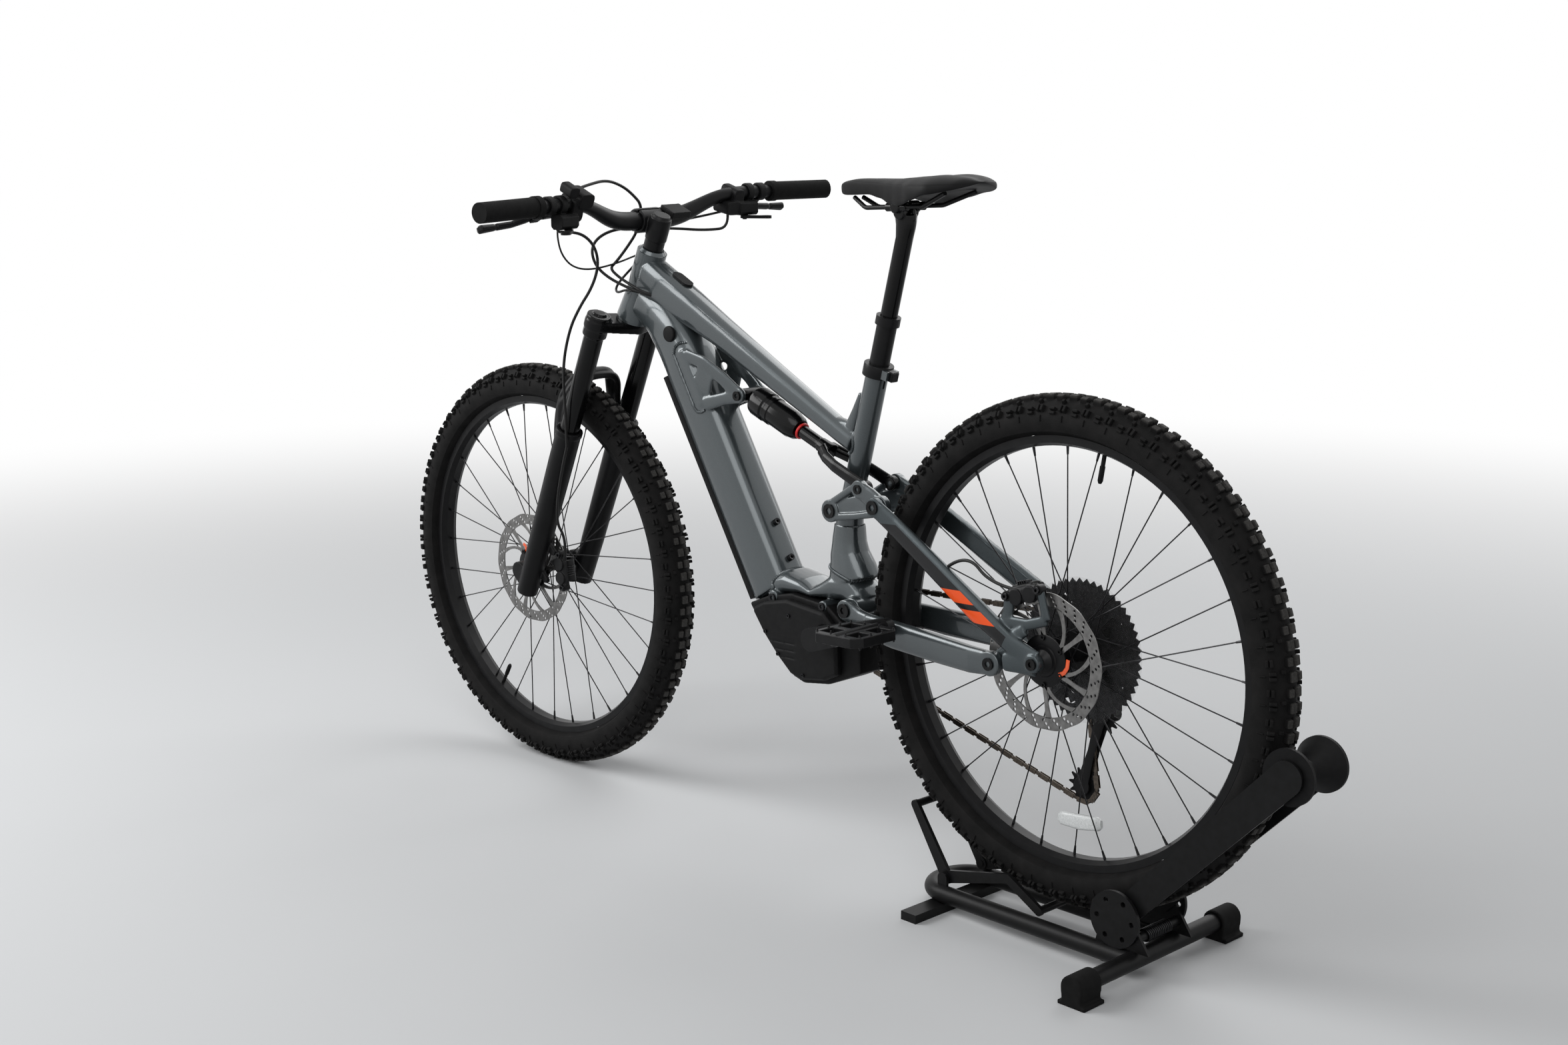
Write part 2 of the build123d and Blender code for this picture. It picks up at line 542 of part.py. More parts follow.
def fork_lowers():
    half = FRONT_HUB_WIDTH / 2
    leg = rod((LEG_OFFSET, LEG_Y, -30), (LEG_OFFSET, LEG_Y, 60), LOWER_RADIUS - 4, LOWER_RADIUS - 2)
    leg += rod((LEG_OFFSET, LEG_Y, 60), (LEG_OFFSET, LEG_Y, 250), LOWER_RADIUS - 2, LOWER_RADIUS)
    leg += rod((LEG_OFFSET, LEG_Y, 250), (LEG_OFFSET, LEG_Y, SEAL_HEIGHT - 10), LOWER_RADIUS)
    leg += rod((LEG_OFFSET, LEG_Y, SEAL_HEIGHT - 10), (LEG_OFFSET, LEG_Y, SEAL_HEIGHT), LOWER_RADIUS + 1.5)
    leg += slab(hull((LEG_OFFSET, -10, 18.0), (FORK_OFFSET, 0, 17.0)), half + RUN_GAP, half + 20)
    lowers = both_sides(leg)
    arch = [(LEG_OFFSET + 12, LEG_Y, SEAL_HEIGHT - 40), (LEG_OFFSET + 42, LEG_Y - 8, SEAL_HEIGHT + 30),
            (LEG_OFFSET + 36, 30, TYRE_RADIUS + 28)]
    path = arch + [(x, -y, z) for x, y, z in reversed(arch)]
    lowers += pipe(path, 24.0, 9.5)
    for z in (20.0, 80.0):
        lowers += slab(hull((LEG_OFFSET - 12, z, 9.0), (LEG_OFFSET - 32, z - 5, 6.0)), LEG_Y - 12, LEG_Y - 4)
    for y in (-LEG_Y, LEG_Y):
        lowers -= rod((LEG_OFFSET, y, 20), (LEG_OFFSET, y, SEAL_HEIGHT + 1), STANCHION_RADIUS + FIT_GAP)
        lowers -= rod((LEG_OFFSET, y, SEAL_HEIGHT), (LEG_OFFSET, y, AXLE_TO_CROWN), STANCHION_RADIUS + 4)
    lowers -= Pos(FORK_OFFSET, 0, 0) * caliper_space(FRONT_ROTOR_Y, FRONT_CALIPER_ANGLE)
    lowers -= drum(FORK_OFFSET, 0, FRONT_AXLE_RADIUS + FIT_GAP, -100, 100)
    axle = drum(FORK_OFFSET, 0, FRONT_AXLE_RADIUS, -half - 20, half + 20)
    return group(lowers, axle)


# A brake caliper straddling a rotor, at the angle given around the wheel's axis.
def caliper(rotor_y, angle):
    body = Pos(ROTOR_RADIUS - 4, rotor_y + 3, 0) * Box(34, 30, 62)
    body = chamfer(body.edges().filter_by(Axis.Y), 8.0)
    body = chamfer(body.faces().sort_by(Axis.Y)[-1].edges(), 3.0)
    body -= Pos(0, rotor_y, 0) * Box(2 * ROTOR_RADIUS + 6, ROTOR_THICK + 2.4, 80)
    return Rot(0, -angle, 0) * body


def caliper_space(rotor_y, angle):
    return Rot(0, -angle, 0) * Pos(ROTOR_RADIUS - 4, rotor_y + 3, 0) * Box(34 + 2 * WELD_GAP, 30 + 2 * WELD_GAP, 62 + 2 * WELD_GAP)


def stem():
    body = rod((0, 0, STEM_HEIGHT - STEM_CLAMP_HALF), (0, 0, STEM_HEIGHT + STEM_CLAMP_HALF), STEERER_RADIUS + 4.5)
    neck = Plane((0, 0, STEM_HEIGHT), x_dir=(0, 1, 0), z_dir=(1, 0, 0)) * RectangleRounded(34, 32, 10)
    body += extrude(neck, amount=STEM_REACH)
    body += drum(STEM_REACH, STEM_HEIGHT, BAR_CLAMP_RADIUS + 5, -24, 24)
    body -= drum(STEM_REACH, STEM_HEIGHT, BAR_CLAMP_RADIUS + FIT_GAP, -30, 30)
    body -= rod((0, 0, 0), (0, 0, STEM_HEIGHT + 40), STEERER_RADIUS + FIT_GAP)
    split = Pos(STEM_REACH, 0, STEM_HEIGHT) * Box(3, 60, 60)
    body -= split
    spacer = rod((0, 0, HEAD_TOP + CUP_FLANGE + RUN_GAP), (0, 0, STEM_HEIGHT - STEM_CLAMP_HALF), STEERER_RADIUS + 3.2)
    spacer -= rod((0, 0, 0), (0, 0, STEM_HEIGHT), STEERER_RADIUS + FIT_GAP)
    cap = rod((0, 0, STEM_HEIGHT + STEM_CLAMP_HALF), (0, 0, STEM_HEIGHT + STEM_CLAMP_HALF + 5), STEERER_RADIUS + 3, STEERER_RADIUS)
    return group(body, spacer, cap)


def bar_point(y):
    knee, rise = 62.0, 150.0
    x, z = STEM_REACH, STEM_HEIGHT
    if y <= knee:
        return (x, y, z)
    if y <= rise:
        share = (y - knee) / (rise - knee)
        return (x - 4 * share, y, z + share * (BAR_RISE - 8))
    share = (y - rise) / (BAR_HALF - rise)
    return (x - 4 - share * (BAR_SWEEP - 4), y, z + BAR_RISE - 8 + 8 * share)


BAR_OUT = (Vector(*bar_point(BAR_HALF)) - Vector(*bar_point(200.0))).normalized()


def bar_station(distance):
    return Vector(*bar_point(BAR_HALF)) - BAR_OUT * distance


def handlebar():
    middle = [bar_point(y) for y in (0.0, 62.0, 150.0, BAR_HALF)]
    right = [(x, -y, z) for x, y, z in reversed(middle[1:])]
    bar = pipe(right + middle[1:], 40.0, BAR_RADIUS)
    knee = middle[1][1] - 20
    profile = [(0, -knee - 16), (BAR_RADIUS - 1, -knee - 16), (BAR_CLAMP_RADIUS, -knee), (BAR_CLAMP_RADIUS, knee), (BAR_RADIUS - 1, knee + 16),
               (0, knee + 16)]
    return bar + Pos(STEM_REACH, 0, STEM_HEIGHT) * turned(profile)


def grip():
    tip = bar_station(-4.0)
    root = bar_station(GRIP_LENGTH)
    sleeve = rod(root, tip, GRIP_RADIUS)
    sleeve += rod(root, root + BAR_OUT * 12, GRIP_RADIUS + 1.5)
    return sleeve - rod(root - BAR_OUT, bar_station(0.0), BAR_RADIUS + FIT_GAP)


# A place on the left half of the bar, Z outwards and X forward, turned down by the angle given.
def bar_frame(distance, droop):
    ahead = Vector(BAR_OUT.Y, -BAR_OUT.X, 0)
    return Plane(bar_station(distance), x_dir=ahead, z_dir=BAR_OUT).location * Rot(0, 0, droop)


LEVER_STATION = GRIP_LENGTH + 22.0
LEVER_DROOP = 52.0
LEVER_HINGE = (36.0, 4.0)
SHIFTER_STATION = LEVER_STATION + 26.0
SHIFTER_DROOP = 112.0
PADDLE_HINGE = (8.0, -12.0)


def clamp_ring(width):
    return Cylinder(BAR_RADIUS + 4.5, width) - Cylinder(BAR_RADIUS + FIT_GAP, width + 2)


def lever_body():
    ring = clamp_ring(13)
    reservoir = Pos(BAR_RADIUS + 13, 0, -24) * Cylinder(9, 72)
    ear = Pos(LEVER_HINGE[0] - 6, 0, LEVER_HINGE[1] - 3) * Box(26, 17, 18)
    arm = Pos(BAR_RADIUS + 6, 0, 0) * Box(12, 14, 13)
    body = arm + reservoir + ear + ring - Cylinder(BAR_RADIUS + FIT_GAP, 200)
    throat = Pos(LEVER_HINGE[0] + 2, 0, LEVER_HINGE[1] + 2) * Box(24, 9, 26)
    body -= throat
    pin = Pos(LEVER_HINGE[0], 0, LEVER_HINGE[1]) * Rot(90, 0, 0) * Cylinder(2.5, 17)
    return bar_frame(LEVER_STATION, LEVER_DROOP) * (body + pin)


def brake_lever():
    hinge_x, hinge_z = LEVER_HINGE
    blade = [(hinge_x + 10, hinge_z + 8), (hinge_x + 24, hinge_z + 30), (hinge_x + 28, hinge_z + 66), (hinge_x + 30, hinge_z + 92)]
    outline = hull((hinge_x, hinge_z, 5.5), (*blade[0], 5.5)) + hull((*blade[0], 5.5), (*blade[1], 4.5))
    outline += hull((*blade[1], 4.5), (*blade[2], 4.0)) + hull((*blade[2], 4.0), (*blade[3], 6.0))
    lever = slab(outline, -4.0, 4.0) - drum(hinge_x, hinge_z, 2.5 + FIT_GAP, -10, 10)
    return bar_frame(LEVER_STATION, LEVER_DROOP) * lever


def shifter_body():
    body = Pos(BAR_RADIUS + 16, 4, -8) * Box(25, 26, 40)
    body = chamfer(body.edges().filter_by(Axis.Z), 5.0)
    body += clamp_ring(12)
    body -= Cylinder(BAR_RADIUS + FIT_GAP, 200)
    hub = Plane((BAR_RADIUS + 28, PADDLE_HINGE[0], PADDLE_HINGE[1]), x_dir=(0, 1, 0), z_dir=(1, 0, 0))
    return bar_frame(SHIFTER_STATION, SHIFTER_DROOP) * (body + hub * Cylinder(4, 8, align=BASE))


def thumb_paddle():
    hub = Plane((BAR_RADIUS + 28 + 1.0, 0, 0), x_dir=(0, 1, 0), z_dir=(1, 0, 0))
    outline = hull((*PADDLE_HINGE, 7.5), (26.0, 8.0, 5.0)) + hull((26.0, 8.0, 5.0), (31.0, 20.0, 8.0))
    paddle = extrude(outline, amount=5.0) - Pos(*PADDLE_HINGE) * Cylinder(4 + FIT_GAP, 20)
    return bar_frame(SHIFTER_STATION, SHIFTER_DROOP) * hub.location * paddle


def display():
    y = -34.0
    ring = drum(STEM_REACH, STEM_HEIGHT, BAR_CLAMP_RADIUS + 4, y - 5, y + 5)
    ring += Pos(STEM_REACH - 14, y - 14, STEM_HEIGHT + 20) * Box(34, 42, 12)
    ring += Pos(STEM_REACH - 4, y, STEM_HEIGHT + 14) * Box(14, 10, 10)
    return ring - drum(STEM_REACH, STEM_HEIGHT, BAR_CLAMP_RADIUS + FIT_GAP, -50, -24) - handlebar()


def right(shape):
    return mirror(shape, about=Plane.XZ)


def bar_controls():
    return group(lever_body(), right(lever_body()), shifter_body(), right(shifter_body()), display())


# Wheels, each in a frame with the axle along Y

def tooth_ring(count, inner, valley, tip, phase):
    step = 2 * pi / count
    points = []
    for index in range(count):
        for turn, radius in ((0.0, valley), (0.42, valley), (0.46, tip), (0.96, tip)):
            angle = (index + turn + phase) * step
            points.append((radius * cos(angle), radius * sin(angle)))
    return make_face(Polyline(*points, close=True)) - Circle(inner)


def tyre():
    crown = TYRE_RADIUS - KNOB_HEIGHT
    half = TYRE_WIDTH / 2
    foot = RIM_LIP + WELD_GAP
    right_half = [(foot, RIM_WIDTH / 2), (crown - 26, half), (crown - 1.5, half - 12)]
    outside = right_half + [(r, -y) for r, y in reversed(right_half)]
    inside = [(foot, -RIM_WIDTH / 2 + TYRE_WALL), (crown - TYRE_WALL - 1, 0), (foot, RIM_WIDTH / 2 - TYRE_WALL)]
    casing = turned(outside + inside)
    rows = ((-13.0, 13.0, 0.0, 2.7, 0.0), (17.0, half - 3, 0.5, 24.0, SHOULDER_DROP), (3 - half, -17.0, 0.5, 24.0, SHOULDER_DROP))
    for low, high, phase, root, drop in rows:
        casing += slab(tooth_ring(KNOB_PITCHES, crown - root, crown - root + 0.6, TYRE_RADIUS - drop, phase), low, high)
    return casing


def rim():
    half = RIM_WIDTH / 2
    right_half = [(RIM_INNER, 8.0), (RIM_INNER + 5, half), (RIM_LIP, half), (RIM_SEAT, half - 5)]
    return turned(right_half + [(r, -y) for r, y in reversed(right_half)])


def spoke_places(left_flange, right_flange):
    step = 360 / SPOKES
    wrap = SPOKE_CROSSES * 2 * step
    places = []
    for index in range(SPOKES):
        flange = left_flange if index % 2 else right_flange
        trailing = 1 if index // 2 % 2 else -1
        outer = radians(index * step)
        inner = radians(index * step + trailing * wrap)
        foot = FLANGE_RADIUS - 3
        root = (foot * cos(inner), flange + trailing * (1.5 + SPOKE_RADIUS + 0.9), foot * sin(inner))
        reach = RIM_INNER - 0.5
        tip = (reach * cos(outer), 2.0 if index % 2 else -2.0, reach * sin(outer))
        places.append((root, tip))
    return places


def spokes(left_flange, right_flange):
    strands = []
    for root, tip in spoke_places(left_flange, right_flange):
        run = Vector(*tip) - Vector(*root)
        profile = Plane(root, z_dir=run) * RegularPolygon(SPOKE_RADIUS, 4)
        strands.append(extrude(profile, amount=run.length))
    return group(*strands)


FRONT_FLANGES = (24.0, -32.0)
REAR_FLANGES = (34.0, -20.5)
LOCKRING = 3.0


# A hub spool with its two spoke flanges, a rotor seat on the left and a plain end on the right.
def hub(half, bore, flanges, rotor_y, end_y):
    left, flat_right = flanges
    seat = rotor_y - ROTOR_THICK / 2 - FIT_GAP
    face = rotor_y + ROTOR_THICK / 2 + FIT_GAP
    end = bore + 2.4
    points = [(bore, -half), (end, -half), (FREEHUB_RADIUS, 4 - half), (FREEHUB_RADIUS, end_y), (17, end_y), (17, flat_right - 1.5),
              (FLANGE_RADIUS, flat_right - 1.5), (FLANGE_RADIUS, flat_right + 1.5), (16, flat_right + 1.5), (14, 0), (16, left - 1.5),
              (FLANGE_RADIUS, left - 1.5), (FLANGE_RADIUS, left + 1.5), (22, left + 1.5), (22, seat), (17, seat), (17, face + LOCKRING),
              (end, half - 4), (end, half), (bore, half)]
    ring = [(17 + FIT_GAP, face), (24, face), (22, face + LOCKRING), (17 + FIT_GAP, face + LOCKRING)]
    return group(turned(points), turned(ring))


# A vented brake rotor: a wavy drilled band on slanting arms.
def rotor(rotor_y):
    waves = 12
    points = []
    for index in range(waves * 3):
        angle = 2 * pi * index / (waves * 3)
        radius = ROTOR_RADIUS - (0.0, 0.0, 4.0)[index % 3]
        points.append((radius * cos(angle), radius * sin(angle)))
    inner = ROTOR_RADIUS - ROTOR_BAND
    face = make_face(Polyline(*points, close=True)) - RegularPolygon(inner, 24)
    hole = RegularPolygon(2.8, 4)
    middle = ROTOR_RADIUS - ROTOR_BAND / 2 - 1
    for index in range(24):
        turn = 360 * index / 24
        shift = 3.2 if index % 2 else -3.2
        face -= Rot(0, 0, turn + 4) * Pos(middle + shift, 0) * hole
    ring = RegularPolygon(26, 24) - Circle(17 + FIT_GAP)
    arm = make_face(Polyline((20, -4.5), (inner + 3, 26), (inner + 3, 38), (20, 5), close=True))
    for index in range(6):
        face += Rot(0, 0, 60 * index) * arm
    face += ring
    face -= Circle(17 + FIT_GAP)
    return slab(face, rotor_y - ROTOR_THICK / 2, rotor_y + ROTOR_THICK / 2)


PROTECTOR_RADIUS = 84.0
REFLECTOR_ANGLE = -93.0
REFLECTOR_RADIUS = 250.0


def wheel_plastics():
    flange = REAR_FLANGES[1] - 4.4
    disc = slab(Circle(PROTECTOR_RADIUS) - Circle(17 + FIT_GAP), flange - 1.2, flange)
    turn = radians(REFLECTOR_ANGLE)
    plate = Pos(REFLECTOR_RADIUS * cos(turn), 0, REFLECTOR_RADIUS * sin(turn)) * Rot(0, 90 - REFLECTOR_ANGLE, 0) * Box(74, 12, 24)
    for root, tip in spoke_places(*REAR_FLANGES):
        plate -= rod(root, tip, SPOKE_RADIUS + WELD_GAP)
    return group(disc, plate)


# Rear suspension

STAY_PIN_RADIUS = 5.0
MAIN_AXLE_RADIUS = 10.0


def plan(points, low, high):
    return Pos(0, 0, low) * extrude(polygon(points), amount=high - low)


def chainstays():
    outline = polygon([(392, 38), (320, 24), (106, 7), (62, -11), (107, -33), (230, -42), (361, -48), (412, 8)], 8.0)
    inner = [(415, 44), (340, 46), (200, 56), (106, 73), (50, 73)]
    outer = [(50, 87), (120, 87), (200, 78), (340, 63), (415, 58)]
    arm = slab(outline, 40, 90) & plan(inner + outer, -100, 100)
    left = arm + drum(*MAIN_PIVOT, 17.0, 44, 58) + drum(*STAY_PIVOT, 15.0, 73, 87)
    right_arm = mirror(arm, about=Plane.XZ) & (Pos(370, 0, 0) * Box(800, 400, 400, align=(Align.MAX, Align.CENTER, Align.CENTER)))
    neck = slab(hull((*MAIN_PIVOT, 16.0), (352, 4, 17.0)), -44, -35.5) + drum(*MAIN_PIVOT, 16.0, -44, -30)
    neck += slab(hull((352, 4, 17.0), (340, 0, 16.0)), -50, -35.5)
    right_arm = right_arm + neck + drum(*STAY_PIVOT, 15.0, -87, -73)
    stays = left + right_arm + drum(*MAIN_PIVOT, MAIN_AXLE_RADIUS, -44, 58)
    for low, high in ((61.0, 87.0), (-87.0, -61.0)):
        stays += drum(*STAY_PIVOT, STAY_PIN_RADIUS, low, high)
    return stays


STAY_LUG_INNER = 61.0
STAY_LUG_OUTER = 72.5
DROPOUT_INNER = REAR_HUB_WIDTH / 2 + RUN_GAP
DROPOUT_OUTER = 86.0


def stay_side():
    tube = slab(hull((*ROCKER_STAY, 15.0), (62, 34, 12.0)), STAY_INNER, DROPOUT_OUTER)
    tube = tube & plan([(345, STAY_INNER), (345, STAY_OUTER), (290, STAY_OUTER), (110, 82), (62, DROPOUT_OUTER), (40, DROPOUT_OUTER),
                        (40, STAY_LUG_INNER), (110, STAY_LUG_INNER), (280, STAY_INNER)], -100, 400)
    tip = slab(hull((0, 0, 20.0), (50, 26, 14.0)), DROPOUT_INNER, DROPOUT_OUTER)
    lug = slab(hull((*STAY_PIVOT, 14.0), (48, 18, 12.0)), STAY_LUG_INNER, STAY_LUG_OUTER)
    root = slab(hull((40, 22, 12.0), (62, 34, 12.0)), STAY_LUG_INNER, DROPOUT_OUTER)
    side_piece = tube + tip + lug + root
    side_piece -= drum(0, 0, REAR_AXLE_RADIUS + FIT_GAP, 40, 100)
    side_piece -= drum(*STAY_PIVOT, STAY_PIN_RADIUS + FIT_GAP, 40, 100)
    side_piece -= drum(*STAY_PIVOT, 15.0 + 6.0, STAY_LUG_OUTER, 100)
    return side_piece - drum(*ROCKER_STAY, STAY_PIN_RADIUS + PIN_SLACK, 40, 100)


PIN_SLACK = 3.6


def seatstays():
    left = stay_side()
    gusset = polygon([(128, 84), (88, 98), (66, 92), (-2, 88), (-14, 68), (-10, 54), (30, 36), (60, 30)], 4.0)
    left += slab(gusset, 66, 74) - caliper_space(REAR_ROTOR_Y, REAR_CALIPER_ANGLE)
    left -= drum(0, 0, REAR_AXLE_RADIUS + FIT_GAP, 40, 100)
    axle = drum(0, 0, REAR_AXLE_RADIUS, -DROPOUT_OUTER, DROPOUT_OUTER)
    right_side = mirror(stay_side(), about=Plane.XZ) + hanger()
    right_side -= drum(0, 0, REAR_AXLE_RADIUS + FIT_GAP, -100, -40)
    return group(left, right_side, axle)


def rocker_link():
    plate = hull((*ROCKER_PIVOT, 17.0), (*ROCKER_YOKE, 13.0), (*ROCKER_STAY, 15.0))
    middle = [sum(p[i] for p in (ROCKER_PIVOT, ROCKER_YOKE, ROCKER_STAY)) / 3 for i in range(2)]
    window = [(middle[0] + 0.3 * (p[0] - middle[0]), middle[1] + 0.3 * (p[1] - middle[1]), 5.0) for p in (ROCKER_PIVOT, ROCKER_YOKE, ROCKER_STAY)]
    cheek = slab(plate - hull(*window), ROCKER_INNER, ROCKER_OUTER)
    cheek += drum(*ROCKER_YOKE, STAY_PIN_RADIUS, YOKE_INNER, ROCKER_OUTER) + drum(*ROCKER_STAY, STAY_PIN_RADIUS, ROCKER_INNER, STAY_OUTER)
    return both_sides(cheek) + drum(*ROCKER_PIVOT, 9.0, -ROCKER_OUTER, ROCKER_OUTER)


SHOCK_RUN = Vector(ROCKER_YOKE[0] - SHOCK_PIVOT[0], 0, ROCKER_YOKE[1] - SHOCK_PIVOT[1]).normalized()


def shock_point(distance):
    return spot(along(SHOCK_PIVOT, SHOCK_RUN, distance))


def shock_can():
    can = rod(shock_point(0), shock_point(24), 9.0) + drum(*SHOCK_PIVOT, 11.0, -19.5, 19.5)
    can += rod(shock_point(14), shock_point(26), 16.0, SHOCK_CAN_RADIUS)
    can += rod(shock_point(26), shock_point(120), SHOCK_CAN_RADIUS)
    can += rod(shock_point(120), shock_point(128), SHOCK_CAN_RADIUS - 2, SHOCK_CAN_RADIUS - 7)
    can -= rod(shock_point(40), shock_point(130), SHOCK_SHAFT_RADIUS + FIT_GAP)
    return can - drum(*SHOCK_PIVOT, 5.0 + FIT_GAP, -30, 30)


def shock_yoke():
    shaft = rod(shock_point(100), shock_point(SHOCK_LENGTH - 14), SHOCK_SHAFT_RADIUS)
    eye = shock_point(SHOCK_LENGTH)
    block = drum(eye[0], eye[2], 13.0, -16, 16) + rod(shock_point(SHOCK_LENGTH - 20), eye, 12.0)
    start, end = shock_point(SHOCK_LENGTH), ROCKER_YOKE
    arm = slab(hull((start[0], start[2], 12.0), (end[0], end[1], 11.0)), YOKE_INNER, YOKE_OUTER)
    bridge = drum(start[0], start[2], 10.0, -YOKE_OUTER, YOKE_OUTER)
    yoke = shaft + block + bridge + both_sides(arm)
    return yoke - drum(*ROCKER_YOKE, STAY_PIN_RADIUS + PIN_SLACK, -60, 60)


# Drive: cranks, pedals, chain and sprockets

CHAINRING_HALF = 0.8


def crank_end(sign):
    angle = radians(CRANK_REST)
    return (CRANK_CENTRE[0] + sign * CRANK_LENGTH * cos(angle), CRANK_CENTRE[1] + sign * CRANK_LENGTH * sin(angle))


def crank_arm(sign):
    return hull((*CRANK_CENTRE, 19.0), (*crank_end(sign), 14.0))


PEDAL_SPINDLE = 5.0
PEDAL_GAP = 10.0


def crank_arms(phase):
    left, right_end = crank_end(1), crank_end(-1)
    arms = slab(crank_arm(1), CRANK_INSIDE, CRANK_OUTSIDE) + slab(crank_arm(-1), -CRANK_OUTSIDE, -CRANK_INSIDE)
    arms += drum(*CRANK_CENTRE, SPINDLE_RADIUS, -CRANK_OUTSIDE, CRANK_OUTSIDE)
    reach = CRANK_OUTSIDE + PEDAL_GAP + PEDAL_WIDTH - 8
    arms += drum(*left, PEDAL_SPINDLE, CRANK_INSIDE, reach) + drum(*right_end, PEDAL_SPINDLE, -reach, -CRANK_INSIDE)
    arms += drum(*left, 8.0, CRANK_OUTSIDE, CRANK_OUTSIDE + PEDAL_GAP - RUN_GAP)
    arms += drum(*right_end, 8.0, RUN_GAP - CRANK_OUTSIDE - PEDAL_GAP, -CRANK_OUTSIDE)
    bolts = pitch_radius(CHAINRING_TEETH) - 12.0
    ring = toothed(CHAINRING_TEETH, phase) - Circle(bolts - 6)
    spider = Circle(20.0)
    for index in range(4):
        spider += Rot(0, 0, 45 + 90 * index) * hull((0, 0, 13.0), (bolts, 0, 8.0))
    arms += Pos(CRANK_CENTRE[0], 0, CRANK_CENTRE[1]) * slab(ring + spider, CHAIN_Y - CHAINRING_HALF, CHAIN_Y + CHAINRING_HALF)
    return arms + drum(*CRANK_CENTRE, 19.0, -CRANK_INSIDE, CHAIN_Y)


# A pedal in its own frame: spindle along Y from the crank's face, cage windows either side.
def pedal():
    body = Pos(0, PEDAL_WIDTH / 2, 0) * Box(PEDAL_LENGTH, PEDAL_WIDTH, PEDAL_THICK)
    body = chamfer(body.edges().filter_by(Axis.Z), 14.0)
    hollow = PEDAL_LENGTH / 2 - 9 - 13
    for x in (-1, 1):
        for y in (0.29, 0.71):
            body -= Pos(x * (13 + hollow / 2), y * PEDAL_WIDTH, 0) * Box(hollow, 0.3 * PEDAL_WIDTH, 40)
    return body - Pos(0, -1, 0) * Rot(-90, 0, 0) * Cylinder(PEDAL_SPINDLE + FIT_GAP, PEDAL_WIDTH - 6, align=BASE)


def left_pedal():
    x, z = crank_end(1)
    return Pos(x, CRANK_OUTSIDE + PEDAL_GAP, z) * pedal()


def right_pedal():
    x, z = crank_end(-1)
    return Pos(x, -CRANK_OUTSIDE - PEDAL_GAP, z) * mirror(pedal(), about=Plane.XZ)


def cog_y(teeth):
    return CHAIN_Y - (COG_TEETH.index(COG_IN_USE) - COG_TEETH.index(teeth)) * COG_PITCH


# The idle cogs have plain pointed teeth; the one in use has gaps for the rollers.
def cassette(phase):
    first, last = cog_y(COG_TEETH[0]), cog_y(COG_TEETH[-1])
    stack = drum(0, 0, 17.0, first - COG_THICK / 2, last + COG_THICK / 2)
    for teeth in COG_TEETH:
        y = cog_y(teeth)
        pitch = pitch_radius(teeth)
        if teeth == COG_IN_USE:
            face = toothed(teeth, phase)
        else:
            step = pi / teeth
            points = [((pitch + (3.0 if i % 2 else -3.4)) * cos(i * step), (pitch + (3.0 if i % 2 else -3.4)) * sin(i * step)) for i in range(2 * teeth)]
            face = make_face(Polyline(*points, close=True))
        if teeth > 30:
            for index in range(5):
                face -= Rot(0, 0, 72 * index) * hull((pitch * 0.55, 0, pitch * 0.1), (pitch * 0.72, 0, pitch * 0.12))
        stack += slab(face, y - COG_THICK / 2, y + COG_THICK / 2)
    return stack - drum(0, 0, FREEHUB_RADIUS + FIT_GAP, first - 10, last + 10)


# The chain's route: straight runs and wraps round the chainring, the cog and the two pulleys.
# Places along it are counted in links; a wrap's turn is +1 where the chain goes anticlockwise seen from the right.
def chain_route(cage_turn):
    swing = radians(cage_turn)
    dx, dz = TENSION_PULLEY[0] - GUIDE_PULLEY[0], TENSION_PULLEY[1] - GUIDE_PULLEY[1]
    tension = (GUIDE_PULLEY[0] + dx * cos(swing) - dz * sin(swing), GUIDE_PULLEY[1] + dx * sin(swing) + dz * cos(swing))
    wheels = [(CRANK_CENTRE, CHAINRING_TEETH, 1), ((0.0, 0.0), COG_IN_USE, 1), (GUIDE_PULLEY, PULLEY_TEETH, -1), (tension, PULLEY_TEETH, 1)]
    runs = []
    for index, (centre, teeth, turn) in enumerate(wheels):
        far, far_teeth, far_turn = wheels[(index + 1) % 4]
        near_radius, far_radius = pitch_radius(teeth), pitch_radius(far_teeth)
        length = hypot(far[0] - centre[0], far[1] - centre[1])
        heading = atan2(far[1] - centre[1], far[0] - centre[0]) - asin((far_turn * far_radius - turn * near_radius) / length)
        normal = (-sin(heading), cos(heading))
        start = (centre[0] - turn * near_radius * normal[0], centre[1] - turn * near_radius * normal[1])
        end = (far[0] - far_turn * far_radius * normal[0], far[1] - far_turn * far_radius * normal[1])
        runs.append((heading, start, end))
    pieces, count = [], 0.0
    for index, (heading, start, end) in enumerate(runs):
        links = hypot(end[0] - start[0], end[1] - start[1]) / CHAIN_PITCH
        pieces.append(("run", count, links, start, end))
        count += links
        centre, teeth, turn = wheels[(index + 1) % 4]
        sweep = (runs[(index + 1) % 4][0] - heading) * turn % (2 * pi)
        links = sweep * teeth / (2 * pi)
        pieces.append(("wrap", count, links, centre, (pitch_radius(teeth), heading - turn * pi / 2, turn * 2 * pi / teeth)))
        count += links
    return pieces, count, tension


# The cage's turn that makes the route a whole, even number of links.
def settled_cage():
    whole = 2 * round(chain_route(0.0)[1] / 2)
    low, high = -25.0, 25.0
    rising = chain_route(high)[1] > chain_route(low)[1]
    for step in range(50):
        middle = (low + high) / 2
        if (chain_route(middle)[1] < whole) == rising:
            low = middle
        else:
            high = middle
    return middle


CAGE_TURN = settled_cage()
CHAIN_ROUTE, CHAIN_LINKS, TENSION_CENTRE = chain_route(CAGE_TURN)
CHAIN_LINKS = round(CHAIN_LINKS)


